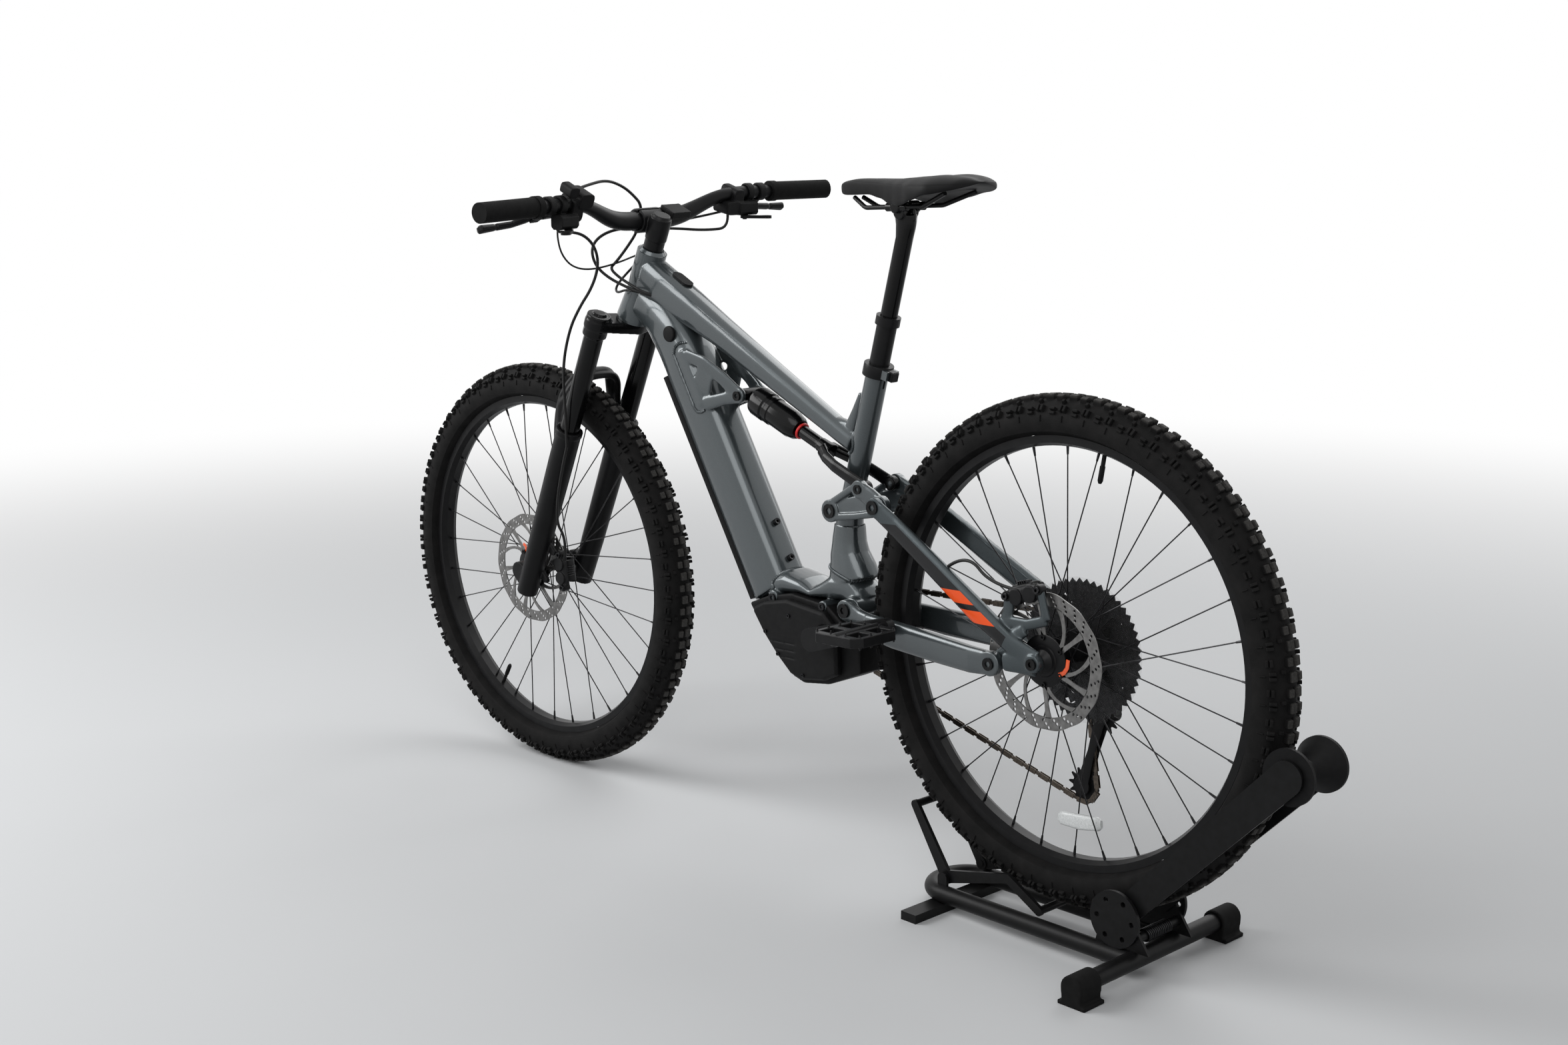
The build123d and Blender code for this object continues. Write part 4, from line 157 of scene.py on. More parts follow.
# Finishes, with the nodes that wear each: depth is the height of the grain in metres
looks = {
    "framePaint": {
        "dark": (0.055, 0.066, 0.071), "light": (0.062, 0.074, 0.079), "blotch": 900.0,
        "rough": (0.26, 0.30), "grain": 1400.0, "bump": 0.004,
        "sockets": {"Metallic": 0.5, "Coat Weight": 0.6, "Coat Roughness": 0.06},
        "nodes": ["head_tube", "top_tube", "down_tube", "seat_tube", "motor_cradle", "chainstays",
                  "seatstays", "rocker_link"]},
    "blackAnodised": {
        "dark": (0.0045, 0.0045, 0.005), "light": (0.008, 0.008, 0.0085), "blotch": 60.0,
        "rough": (0.30, 0.44), "grain": 1800.0, "bump": 0.05, "specular": 0.16,
        "nodes": ["dropper_lower", "saddle_rails", "stem", "handlebar", "crank_arms", "left_pedal",
                  "right_pedal", "front_hub", "rear_hub", "left_brake_lever", "right_brake_lever",
                  "derailleur_link", "derailleur_knuckle", "derailleur_cage", "front_caliper", "rear_caliper",
                  "front_rim", "rear_rim", "shock_yoke", "front_spokes", "rear_spokes"]},
    "glossBlack": {
        "dark": (0.002, 0.002, 0.0022), "light": (0.0035, 0.0035, 0.0038), "blotch": 40.0,
        "rough": (0.14, 0.2), "grain": 700.0, "bump": 0.02, "specular": 0.2,
        "nodes": ["dropper_post", "shock_can", "fork_upper"]},
    "forkLacquer": {
        "dark": (0.0045, 0.0045, 0.005), "light": (0.007, 0.007, 0.0075), "blotch": 30.0,
        "rough": (0.34, 0.42), "grain": 1200.0, "bump": 0.04, "specular": 0.14, "nodes": ["fork_lowers"]},
    "mouldedBlack": {
        "dark": (0.004, 0.004, 0.0043), "light": (0.007, 0.007, 0.0073), "blotch": 120.0,
        "rough": (0.48, 0.62), "grain": 2600.0, "bump": 0.22, "depth": 0.0002, "specular": 0.12,
        "nodes": ["battery", "battery_cover", "drive_unit", "drive_unit_cover", "power_button",
                  "bar_controls", "shift_paddle", "remote_paddle", "guide_pulley", "tension_pulley",
                  "stand_rollers"]},
    "gripRubber": {
        "dark": (0.006, 0.006, 0.006), "light": (0.010, 0.010, 0.010), "blotch": 90.0, "rough": (0.66, 0.82),
        "grain": 1500.0, "bump": 0.25, "depth": 0.0002, "specular": 0.08, "nodes": ["grips", "stand_feet"]},
    "tyreRubber": {
        "dark": (0.006, 0.006, 0.006), "light": (0.012, 0.0115, 0.0115), "blotch": 45.0,
        "rough": (0.58, 0.78), "grain": 900.0, "bump": 0.25, "depth": 0.0003, "specular": 0.08,
        "dust": (0.085, 0.082, 0.078), "dustFrom": 0.3712, "dustFull": 0.3745, "speck": 380.0,
        "nodes": ["front_tyre", "rear_tyre"]},
    "standCoat": {
        "dark": (0.005, 0.005, 0.005), "light": (0.008, 0.008, 0.0085), "blotch": 80.0,
        "rough": (0.32, 0.5), "grain": 1100.0, "bump": 0.18, "depth": 0.0002, "specular": 0.14,
        "nodes": ["stand_frame", "stand_brackets", "stand_lever", "stand_arm", "stand_spring"]},
    "rotorSteel": {
        "dark": (0.13, 0.128, 0.125), "light": (0.21, 0.207, 0.203), "blotch": 120.0,
        "stretch": (1.0, 0.1, 1.0), "rough": (0.3, 0.45), "grain": 900.0, "bump": 0.06,
        "sockets": {"Metallic": 0.9}, "nodes": ["front_rotor", "rear_rotor"]},
    "chainSteel": {
        "dark": (0.060, 0.050, 0.042), "light": (0.130, 0.108, 0.088), "blotch": 300.0, "rough": (0.28, 0.42),
        "grain": 900.0, "bump": 0.08, "sockets": {"Metallic": 0.85}, "nodes": ["chain"]},
    "cassetteSteel": {
        "dark": (0.012, 0.012, 0.013), "light": (0.030, 0.030, 0.032), "blotch": 160.0, "rough": (0.28, 0.42),
        "grain": 900.0, "bump": 0.06, "sockets": {"Metallic": 0.7}, "nodes": ["cassette"]},
    "clearPlastic": {
        "dark": (0.10, 0.10, 0.10), "light": (0.14, 0.14, 0.14), "blotch": 90.0, "rough": (0.1, 0.2),
        "grain": 600.0, "bump": 0.05, "sockets": {"Alpha": 0.05, "IOR": 1.45}, "nodes": ["wheel_plastics"]},
    "saddleCover": {
        "dark": (0.004, 0.004, 0.0043), "light": (0.007, 0.007, 0.0073), "blotch": 60.0, "rough": (0.46, 0.6),
        "grain": 2200.0, "bump": 0.3, "depth": 0.0002, "specular": 0.12, "nodes": ["saddle"]},
    "hoseSkin": {
        "dark": (0.006, 0.006, 0.006), "light": (0.009, 0.009, 0.009), "blotch": 200.0, "rough": (0.36, 0.48),
        "grain": 1200.0, "bump": 0.08, "specular": 0.25, "nodes": ["cables"]},
    "orangePaint": {
        "dark": (0.78, 0.085, 0.012), "light": (0.86, 0.11, 0.018), "blotch": 300.0, "rough": (0.28, 0.38),
        "grain": 900.0, "bump": 0.03, "sockets": {"Coat Weight": 0.4, "Coat Roughness": 0.15}},
    "redRubber": {
        "dark": (0.55, 0.012, 0.012), "light": (0.68, 0.02, 0.018), "blotch": 300.0, "rough": (0.4, 0.5),
        "grain": 900.0, "bump": 0.05},
    "boltSteel": {
        "dark": (0.010, 0.010, 0.011), "light": (0.03, 0.03, 0.032), "blotch": 300.0, "rough": (0.25, 0.38),
        "grain": 1500.0, "bump": 0.04, "sockets": {"Metallic": 0.8}},
    "reflectorPrism": {
        "dark": (0.62, 0.64, 0.64), "light": (0.86, 0.88, 0.88), "blotch": 700.0, "rough": (0.06, 0.2),
        "grain": 420.0, "bump": 0.6, "depth": 0.0008, "sockets": {"Alpha": 0.85}},
}
finishes = {name: makeFinish(name, look) for name, look in looks.items()}


def placedAbout(tree, place):
    coords = addNode(tree, "ShaderNodeTexCoord").outputs["Object"]
    centred = addNode(tree, "ShaderNodeMapping", vector_type="TEXTURE", Vector=coords,
                      Location=place.to_translation(), Rotation=place.to_euler())
    return coords, centred.outputs["Vector"]


# Lays tints over a finish's own colour, each where its mask says
def tintOver(tree, bands):
    base = tree.nodes["Principled BSDF"].inputs["Base Color"]
    colour = base.links[0].from_socket
    for mask, tint in bands:
        mix = addNode(tree, "ShaderNodeMix", data_type="RGBA", Factor=mask, A=colour, B=(*tint, 1))
        colour = mix.outputs["Result"]
    fill(tree, base, colour)


# Paler, dusty knob tops: a ring of colour centred on the wheel
def makeTyreRubber(name, place):
    look = looks["tyreRubber"]
    material = makeFinish(name, look)
    tree = material.node_tree
    coords, centred = placedAbout(tree, place)
    flat = addNode(tree, "ShaderNodeVectorMath", centred, (1, 0, 1), operation="MULTIPLY")
    reach = addNode(tree, "ShaderNodeVectorMath", flat.outputs["Vector"], operation="LENGTH")
    band = addNode(tree, "ShaderNodeMapRange", reach.outputs["Value"], look["dustFrom"], look["dustFull"])
    speck = addNode(tree, "ShaderNodeTexNoise", Vector=coords, Scale=look["speck"],
                    Detail=finishDetail["speck"])
    amount = mathNode(tree, "MULTIPLY", band.outputs["Result"], speck.outputs["Fac"])
    tintOver(tree, [(amount, look["dust"])])
    return material


for side, place in wheels.items():
    finishes[side + "TyreRubber"] = makeTyreRubber(side + "TyreRubber", place)

# Seat stays: grey above, black below, with two slanting orange bars near the wheel
stayLook = {
    "top": (0.328, 0.192), "foot": (0.062, 0.034), "split": 0.006, "start": 0.14, "end": 1.04, "slant": 1.6,
    "bars": [(0.66, 0.77), (0.82, 0.93)], "outside": 0.052, "spread": 0.021, "metallic": 0.5, "coat": 0.1,
    "specular": 0.2, "black": (0.006, 0.006, 0.007), "orange": (0.80, 0.085, 0.012),
}


def makeStayPaint():
    material = makeFinish("stayPaint", looks["framePaint"])
    tree = material.node_tree
    shader = tree.nodes["Principled BSDF"]
    split = addNode(tree, "ShaderNodeSeparateXYZ", placedAbout(tree, onStand)[1])

    def worked(operation, first, second=0.0):
        return mathNode(tree, operation, first, second)

    top, foot = Vector(stayLook["top"]), Vector(stayLook["foot"])
    run = foot - top
    along = run.normalized()
    x = worked("SUBTRACT", split.outputs["X"], top.x)
    z = worked("SUBTRACT", split.outputs["Z"], top.y)
    walked = worked("ADD", worked("MULTIPLY", x, along.x), worked("MULTIPLY", z, along.y))
    share = worked("DIVIDE", walked, run.length)
    rise = worked("ADD", worked("MULTIPLY", x, along.y), worked("MULTIPLY", z, -along.x))
    slanted = worked("SUBTRACT", share, worked("MULTIPLY", rise, stayLook["slant"] / run.length))
    across = worked("SUBTRACT", worked("ABSOLUTE", split.outputs["Y"]),
                    worked("MULTIPLY", share, stayLook["spread"]))
    outside = worked("GREATER_THAN", across, stayLook["outside"])
    low = worked("LESS_THAN", rise, stayLook["split"])
    begun = worked("GREATER_THAN", slanted, stayLook["start"])
    ended = worked("LESS_THAN", share, stayLook["end"])
    dark = worked("MULTIPLY", worked("MULTIPLY", outside, low), worked("MULTIPLY", begun, ended))
    bands = [(dark, stayLook["black"])]
    for first, last in stayLook["bars"]:
        within = worked("MULTIPLY", worked("GREATER_THAN", slanted, first),
                        worked("LESS_THAN", slanted, last))
        bands.append((worked("MULTIPLY", within, dark), stayLook["orange"]))
    tintOver(tree, bands)
    bare = worked("SUBTRACT", stayLook["metallic"], worked("MULTIPLY", dark, stayLook["metallic"]))
    fill(tree, shader.inputs["Metallic"], bare)
    shader.inputs["Coat Weight"].default_value = stayLook["coat"]
    shader.inputs["Specular IOR Level"].default_value = stayLook["specular"]
    return material


finishes["stayPaint"] = makeStayPaint()
for finishName, look in looks.items():
    for name in look.get("nodes", []):
        mesh = nodes[name].data
        mesh.materials.clear()
        mesh.materials.append(finishes[finishName])
print("finishes given to", sum(len(look.get("nodes", [])) for look in looks.values()), "nodes")

# Modelling helpers

def deselectAll():
    if bpy.context.object and bpy.context.object.mode != "OBJECT":
        bpy.ops.object.mode_set(mode="OBJECT")
    bpy.ops.object.select_all(action="DESELECT")


def pick(piece):
    deselectAll()
    piece.select_set(True)
    bpy.context.view_layer.objects.active = piece


def linked(name, data):
    piece = bpy.data.objects.new(name, data)
    bpy.context.scene.collection.objects.link(piece)
    return piece


def settlePlace(piece, place):
    piece.matrix_world = place @ piece.matrix_world
    pick(piece)
    bpy.ops.object.transform_apply(location=True, rotation=True, scale=True)
    return piece


def joinPieces(pieces, name):
    pick(pieces[0])
    for piece in pieces:
        piece.select_set(True)
    if len(pieces) > 1:
        bpy.ops.object.join()
    joined = bpy.context.object
    joined.name = name
    joined.data.name = name
    return joined


def dress(piece, finish, body, slotName, angle=35):
    pick(piece)
    bpy.ops.object.shade_smooth_by_angle(angle=math.radians(angle))
    piece.data.materials.clear()
    piece.data.materials.append(finishes[finish])
    if body:
        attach(piece, body)
    return piece


def applied(piece, kind, **settings):
    pick(piece)
    change = piece.modifiers.new(kind.lower(), kind)
    for key, value in settings.items():
        setattr(change, key, value)
    bpy.ops.object.modifier_apply(modifier=change.name)
    return piece


# Mesh operations, each with its settings, on the whole of a piece
def edited(piece, *steps):
    pick(piece)
    bpy.ops.object.mode_set(mode="EDIT")
    bpy.ops.mesh.select_all(action="SELECT")
    for step, settings in steps:
        step(**settings)
    bpy.ops.object.mode_set(mode="OBJECT")
    return piece


weld = (bpy.ops.mesh.remove_doubles, {"threshold": 0.00001})
faceOut = (bpy.ops.mesh.normals_make_consistent, {"inside": False})


def repeatRound(piece, count):
    helper = linked("roundStep", None)
    helper.rotation_euler = (0, math.radians(360 / count), 0)
    bpy.context.view_layer.update()
    applied(piece, "ARRAY", count=count, use_relative_offset=False, use_object_offset=True,
            offset_object=helper)
    bpy.data.objects.remove(helper)
    return piece


def selectFaces(piece, test):
    bpy.ops.object.mode_set(mode="OBJECT")
    for part in (*piece.data.vertices, *piece.data.edges):
        part.select = False
    for face in piece.data.polygons:
        face.select = test(face)
    bpy.ops.object.mode_set(mode="EDIT")
    bpy.ops.mesh.select_mode(type="FACE")


# A block with its sides drawn in towards the top and its edges broken
def taperedBlock(size, taper, edge):
    deselectAll()
    bpy.ops.mesh.primitive_cube_add(size=1.0)
    block = bpy.context.object
    block.scale = size
    bpy.ops.object.transform_apply(location=False, rotation=False, scale=True)
    selectFaces(block, lambda face: face.normal.z > 0.9)
    bpy.ops.transform.resize(value=(taper, taper, 1))
    bpy.ops.mesh.select_all(action="SELECT")
    bpy.ops.mesh.bevel(offset=edge, segments=1, affect="EDGES")
    bpy.ops.object.mode_set(mode="OBJECT")
    return block


def inMetres(section):
    return [(out / 1000, across / 1000) for out, across in section]


# A ring from its section, points out from the axle and across, spun round the axle
def spunRing(section, steps, name):
    deselectAll()
    bpy.ops.mesh.primitive_plane_add(size=0.01)
    ring = bpy.context.object
    ring.name = name
    edited(ring, (bpy.ops.mesh.delete, {"type": "VERT"}))
    ring.data.from_pydata([(0, across, out) for out, across in section],
                          [(index, (index + 1) % len(section)) for index in range(len(section))], [])
    edited(ring, (bpy.ops.mesh.spin, {"steps": steps, "angle": 2 * math.pi, "center": (0, 0, 0),
                                      "axis": (0, 1, 0)}))
    return edited(ring, weld, faceOut)


# A tube along runs of places, each place with its share of the radius
def tubeThrough(name, runs, radius, roundness, kind="NURBS", order=3, steps=12, caps=True):
    curve = bpy.data.curves.new(name, "CURVE")
    curve.dimensions = "3D"
    curve.bevel_depth = radius
    curve.bevel_resolution = roundness
    curve.use_fill_caps = caps
    curve.resolution_u = steps
    for run in runs:
        line = curve.splines.new(kind)
        line.points.add(len(run) - 1)
        for point, (spot, share) in zip(line.points, run):
            point.co = (*spot, 1)
            point.radius = share
        if kind == "NURBS":
            line.order_u = order
            line.use_endpoint_u = True
    pick(linked(name, curve))
    bpy.ops.object.convert(target="MESH")
    return bpy.context.object


# Camera, as the photograph was taken
photo = {
    "place": (-2.363480, 2.270703, 1.198230), "turn": (78.69731, 0.34280, -133.80957), "lens": 47.06,
    "sensor": 36.0,
}
cameraData = bpy.data.cameras.new("photoCamera")
cameraData.lens = photo["lens"]
cameraData.sensor_width = photo["sensor"]
cameraData.sensor_fit = "HORIZONTAL"
camera = linked("photoCamera", cameraData)
camera.location = photo["place"]
camera.rotation_euler = [math.radians(angle) for angle in photo["turn"]]
bpy.context.scene.camera = camera

# Studio: pale floor, soft lamps, white surroundings
studio = {
    "floorSize": 60.0, "floorColour": (0.60, 0.61, 0.62), "floorRough": 0.75, "fadeFrom": 1.6, "fadeTo": 5.2,
    "ambient": 0.27, "white": (1, 1, 1, 1), "aim": (0.1, 0, 0.55),
    "lamps": [
        {"name": "keyLamp", "at": (-1.6, 2.6, 3.2), "size": 2.6, "power": 52.0},
        {"name": "frontLamp", "at": (2.6, 2.2, 2.6), "size": 2.4, "power": 105.0},
        {"name": "farLamp", "at": (0.4, -3.0, 3.0), "size": 3.0, "power": 55.0},
    ],
}


def makeFloor():
    deselectAll()
    bpy.ops.mesh.primitive_plane_add(size=studio["floorSize"])
    floor = bpy.context.object
    floor.name = "studioFloor"
    material = bpy.data.materials.new("paleFloor")
    material.use_nodes = True
    tree = material.node_tree
    shader = tree.nodes["Principled BSDF"]
    shader.inputs["Roughness"].default_value = studio["floorRough"]
    shader.inputs["Base Color"].default_value = (*studio["floorColour"], 1)
    place = addNode(tree, "ShaderNodeTexCoord").outputs["Object"]
    reach = addNode(tree, "ShaderNodeVectorMath", place, operation="LENGTH")
    fade = addNode(tree, "ShaderNodeMapRange", reach.outputs["Value"], studio["fadeFrom"], studio["fadeTo"],
                   interpolation_type="SMOOTHSTEP")
    backdrop = addNode(tree, "ShaderNodeEmission", Color=studio["white"], Strength=1.0)
    seen = raysSeen(tree, "Is Camera Ray", "Is Glossy Ray")
    amount = mathNode(tree, "MULTIPLY", fade.outputs["Result"], seen)
    mix = addNode(tree, "ShaderNodeMixShader", amount, shader.outputs[0], backdrop.outputs[0])
    fill(tree, tree.nodes["Material Output"].inputs["Surface"], mix.outputs[0])
    floor.data.materials.append(material)


def makeLights():
    for lamp in studio["lamps"]:
        data = bpy.data.lights.new(lamp["name"], "AREA")
        data.energy = lamp["power"]
        data.size = lamp["size"]
        light = linked(lamp["name"], data)
        light.location = lamp["at"]
        aim = Vector(studio["aim"]) - Vector(lamp["at"])
        light.rotation_euler = aim.to_track_quat("-Z", "Y").to_euler()
    world = bpy.data.worlds.new("whiteStudio")
    bpy.context.scene.world = world
    world.use_nodes = True
    tree = world.node_tree
    tree.nodes.clear()
    seen = raysSeen(tree, "Is Camera Ray", "Is Glossy Ray", "Is Transmission Ray")
    soft, white = (addNode(tree, "ShaderNodeBackground", Color=studio["white"], Strength=strength).outputs[0]
                   for strength in (studio["ambient"], 1.0))
    mix = addNode(tree, "ShaderNodeMixShader", seen, soft, white)
    addNode(tree, "ShaderNodeOutputWorld", Surface=mix.outputs[0])
    bpy.context.scene.view_settings.view_transform = "Standard"


makeFloor()
makeLights()
print("camera, floor and lamps set")

# Tyres: a round casing with side, middle and centre knobs, each knob at its angle from the crown
tyreLook = {
    "crown": 0.3695, "round": 0.0315, "halfWidth": 0.0318, "foot": 0.3183, "footHalf": 0.0172, "wall": 0.003,
    "pitches": 56, "steps": 168, "edge": 0.0006, "angles": range(-122, 123, 7),
    "knobs": [
        {"at": 8, "turn": 0.00, "size": (0.0150, 0.0120, 0.0085), "taper": 0.86, "out": 0.0026},
        {"at": 16, "turn": 0.50, "size": (0.0130, 0.0095, 0.0085), "taper": 0.84, "out": 0.0028},
        {"at": 33, "turn": 0.22, "size": (0.0062, 0.0062, 0.0080), "taper": 0.80, "out": 0.0020},
        {"at": 55, "turn": 0.00, "size": (0.0052, 0.0110, 0.0090), "taper": 0.84, "out": 0.0016},
        {"at": 55, "turn": 0.17, "size": (0.0046, 0.0110, 0.0090), "taper": 0.84, "out": 0.0016},
        {"at": 56, "turn": 0.52, "size": (0.0110, 0.0046, 0.0090), "taper": 0.84, "out": 0.0016},
        {"at": 66, "turn": 0.52, "size": (0.0110, 0.0046, 0.0080), "taper": 0.84, "out": 0.0006},
        {"at": 80, "turn": 0.08, "size": (0.0016, 0.0100, 0.0030), "taper": 0.90, "out": 0.0000},
    ],
}


def casingSpot(angle):
    middle = tyreLook["crown"] - tyreLook["round"]
    return middle + tyreLook["round"] * math.cos(angle), tyreLook["halfWidth"] * math.sin(angle)


def casingSection():
    foot, half, wall = tyreLook["foot"], tyreLook["footHalf"], tyreLook["wall"]
    outer = [casingSpot(math.radians(angle)) for angle in tyreLook["angles"]]
    outer = [(foot, -half)] + outer + [(foot, half)]
    shrink = 1 - wall / tyreLook["round"]
    middle = tyreLook["crown"] - tyreLook["round"]
    inner = [(middle + (out - middle) * shrink, across * shrink) for out, across in reversed(outer[2:-2])]
    return outer + [(foot, half - wall)] + inner + [(foot, wall - half)]


def makeTyre(name, place):
    blocks = []
    step = 2 * math.pi / tyreLook["pitches"]
    for knob in tyreLook["knobs"]:
        for sideSign in (-1, 1):
            block = taperedBlock(knob["size"], knob["taper"], tyreLook["edge"])
            lean = math.radians(knob["at"]) * sideSign
            out, across = casingSpot(lean)
            phase = (knob["turn"] + (0.5 if sideSign > 0 else 0.0)) * step
            seat = (Matrix.Rotation(phase, 4, "Y") @ Matrix.Translation((0, across, out))
                    @ Matrix.Rotation(-lean, 4, "X") @ Matrix.Translation((0, 0, knob["out"])))
            blocks.append(settlePlace(block, seat))
    tread = repeatRound(joinPieces(blocks, name + "Tread"), tyreLook["pitches"])
    casing = spunRing(casingSection(), tyreLook["steps"], name + "Casing")
    return settlePlace(joinPieces([casing, tread], name), place)


for side, place in wheels.items():
    tyre = dress(makeTyre(side + "Tyre", place), side + "TyreRubber", side + "_wheel", "tyre_black", 30)
    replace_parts(tyre, side + "_tyre")
print("tyres made")

# Spokes with nipples, crossing three times as in the part's source
spokeLook = {
    "count": 32, "crosses": 3, "radius": 0.0010, "flange": 0.026, "rim": 0.3015, "nipple": 0.0022,
    "nippleLength": 0.013, "nippleTaper": 0.7, "off": 0.0035, "dish": 0.002, "sides": 8, "group": 4,
    "front": (0.024, -0.032), "rear": (0.034, -0.0205),
}


def makeSpokes(name, flanges, place):
    step = 2 * math.pi / spokeLook["count"]
    strands = []
    for index in range(spokeLook["group"]):
        left = index % 2 == 1
        trailing = 1 if index // 2 else -1
        inner = index * step + trailing * spokeLook["crosses"] * 2 * step
        across = flanges[0 if left else 1] + trailing * spokeLook["off"]
        root = Vector((spokeLook["flange"] * math.cos(inner), across, spokeLook["flange"] * math.sin(inner)))
        tip = Vector((spokeLook["rim"] * math.cos(index * step), spokeLook["dish"] * (1 if left else -1),
                      spokeLook["rim"] * math.sin(index * step)))
        run = tip - root
        along = Matrix.Translation(root) @ run.to_track_quat("Z", "Y").to_matrix().to_4x4()
        for low, high, radius in ((0.0, run.length, spokeLook["radius"]),
                                  (run.length - spokeLook["nippleLength"], run.length, spokeLook["nipple"])):
            deselectAll()
            bpy.ops.mesh.primitive_cylinder_add(vertices=spokeLook["sides"], radius=radius, depth=high - low)
            strand = bpy.context.object
            if radius > spokeLook["radius"]:
                selectFaces(strand, lambda face: face.normal.z < -0.9)
                bpy.ops.transform.resize(value=(spokeLook["nippleTaper"], spokeLook["nippleTaper"], 1))
                bpy.ops.object.mode_set(mode="OBJECT")
            strands.append(settlePlace(strand, along @ Matrix.Translation((0, 0, (low + high) / 2))))
    groups = spokeLook["count"] // spokeLook["group"]
    return settlePlace(repeatRound(joinPieces(strands, name), groups), place)


for side, place in wheels.items():
    spokes = makeSpokes(side + "Spokes", spokeLook[side], place)
    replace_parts(dress(spokes, "boltSteel", side + "_wheel", "black_metal"), side + "_spokes")
print("spokes made")

# Saddle: a padded shell, crowned, with drawn-in sides and a shallow middle channel
saddleLook = {
    "tail": 0.146, "nose": 0.428, "top": 0.688,
    # Share of the length, half width, rise and depth of skirt
    "stations": [(0.00, 0.050, -0.006, 0.008), (0.05, 0.064, -0.003, 0.010), (0.18, 0.0725, -0.001, 0.013),
                 (0.30, 0.066, -0.002, 0.021), (0.42, 0.052, -0.003, 0.031), (0.52, 0.041, -0.004, 0.030),
                 (0.62, 0.032, -0.004, 0.022), (0.72, 0.027, -0.003, 0.018), (0.84, 0.0235, -0.002, 0.020),
                 (0.94, 0.0205, -0.003, 0.021), (1.00, 0.014, -0.008, 0.014)],
    "crown": 0.22, "channel": 0.0035, "channelHalf": 0.011, "channelEnd": 0.62, "square": 0.72, "seam": 0.25,
    "skirtMiddle": 0.55, "skirtSide": 0.45, "coreSkirt": 0.7, "endPower": 8, "endScale": 1.02,
    "rings": 44, "segments": 56, "fill": 0.85,
}


def saddleStation(share):
    stations = saddleLook["stations"]
    for low, high in zip(stations, stations[1:]):
        if share <= high[0]:
            part = (share - low[0]) / (high[0] - low[0])
            part = part * part * (3 - 2 * part)
            return [low[i] + (high[i] - low[i]) * part for i in (1, 2, 3)]
    return stations[-1][1:]


def saddleSpot(co):
    look = saddleLook
    along = 0.5 - math.asin(max(-1.0, min(1.0, co.z))) / math.pi
    angle = math.atan2(co.x, co.y)
    share = (1 - math.cos(along * math.pi)) / 2
    half, rise, skirt = saddleStation(share)
    ends = 0.0
    if 0 < share < 1:
        ends = min(1.0, (1 - (2 * share - 1) ** look["endPower"]) ** 0.5 * look["endScale"])
    side = math.copysign(abs(math.sin(angle)) ** look["square"], math.sin(angle))
    across = half * side * ends
    lean, facingUp = abs(side), math.cos(angle)
    upper = rise - look["crown"] * half * lean ** 3
    lower = rise - look["crown"] * half - skirt * (look["skirtMiddle"] + look["skirtSide"] * lean ** 2)
    if abs(facingUp) < look["seam"]:
        height = lower + (upper - lower) * ((facingUp + look["seam"]) / (2 * look["seam"]))
    elif facingUp > 0:
        shallow = max(0.0, 1 - (share / look["channelEnd"]) ** 4)
        height = upper - math.exp(-(across / look["channelHalf"]) ** 2) * look["channel"] * shallow
    else:
        height = lower
    core = rise - 0.5 * (look["crown"] * half + skirt * look["coreSkirt"])
    height = core + (height - core) * ends
    return (look["tail"] + (look["nose"] - look["tail"]) * share, across, look["top"] + height)


def makeSaddle():
    deselectAll()
    bpy.ops.mesh.primitive_uv_sphere_add(segments=saddleLook["segments"], ring_count=saddleLook["rings"],
                                         radius=1.0)
    saddle = bpy.context.object
    saddle.name = "saddlePad"
    for vert in saddle.data.vertices:
        vert.co = saddleSpot(vert.co)
    edited(saddle, weld, faceOut)
    return settlePlace(applied(saddle, "SUBSURF", levels=1, render_levels=1), onStand)


saddle = dress(makeSaddle(), "saddleCover", "seat", "saddle_cover", 60)
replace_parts(saddle, "saddle")
print("saddle made")

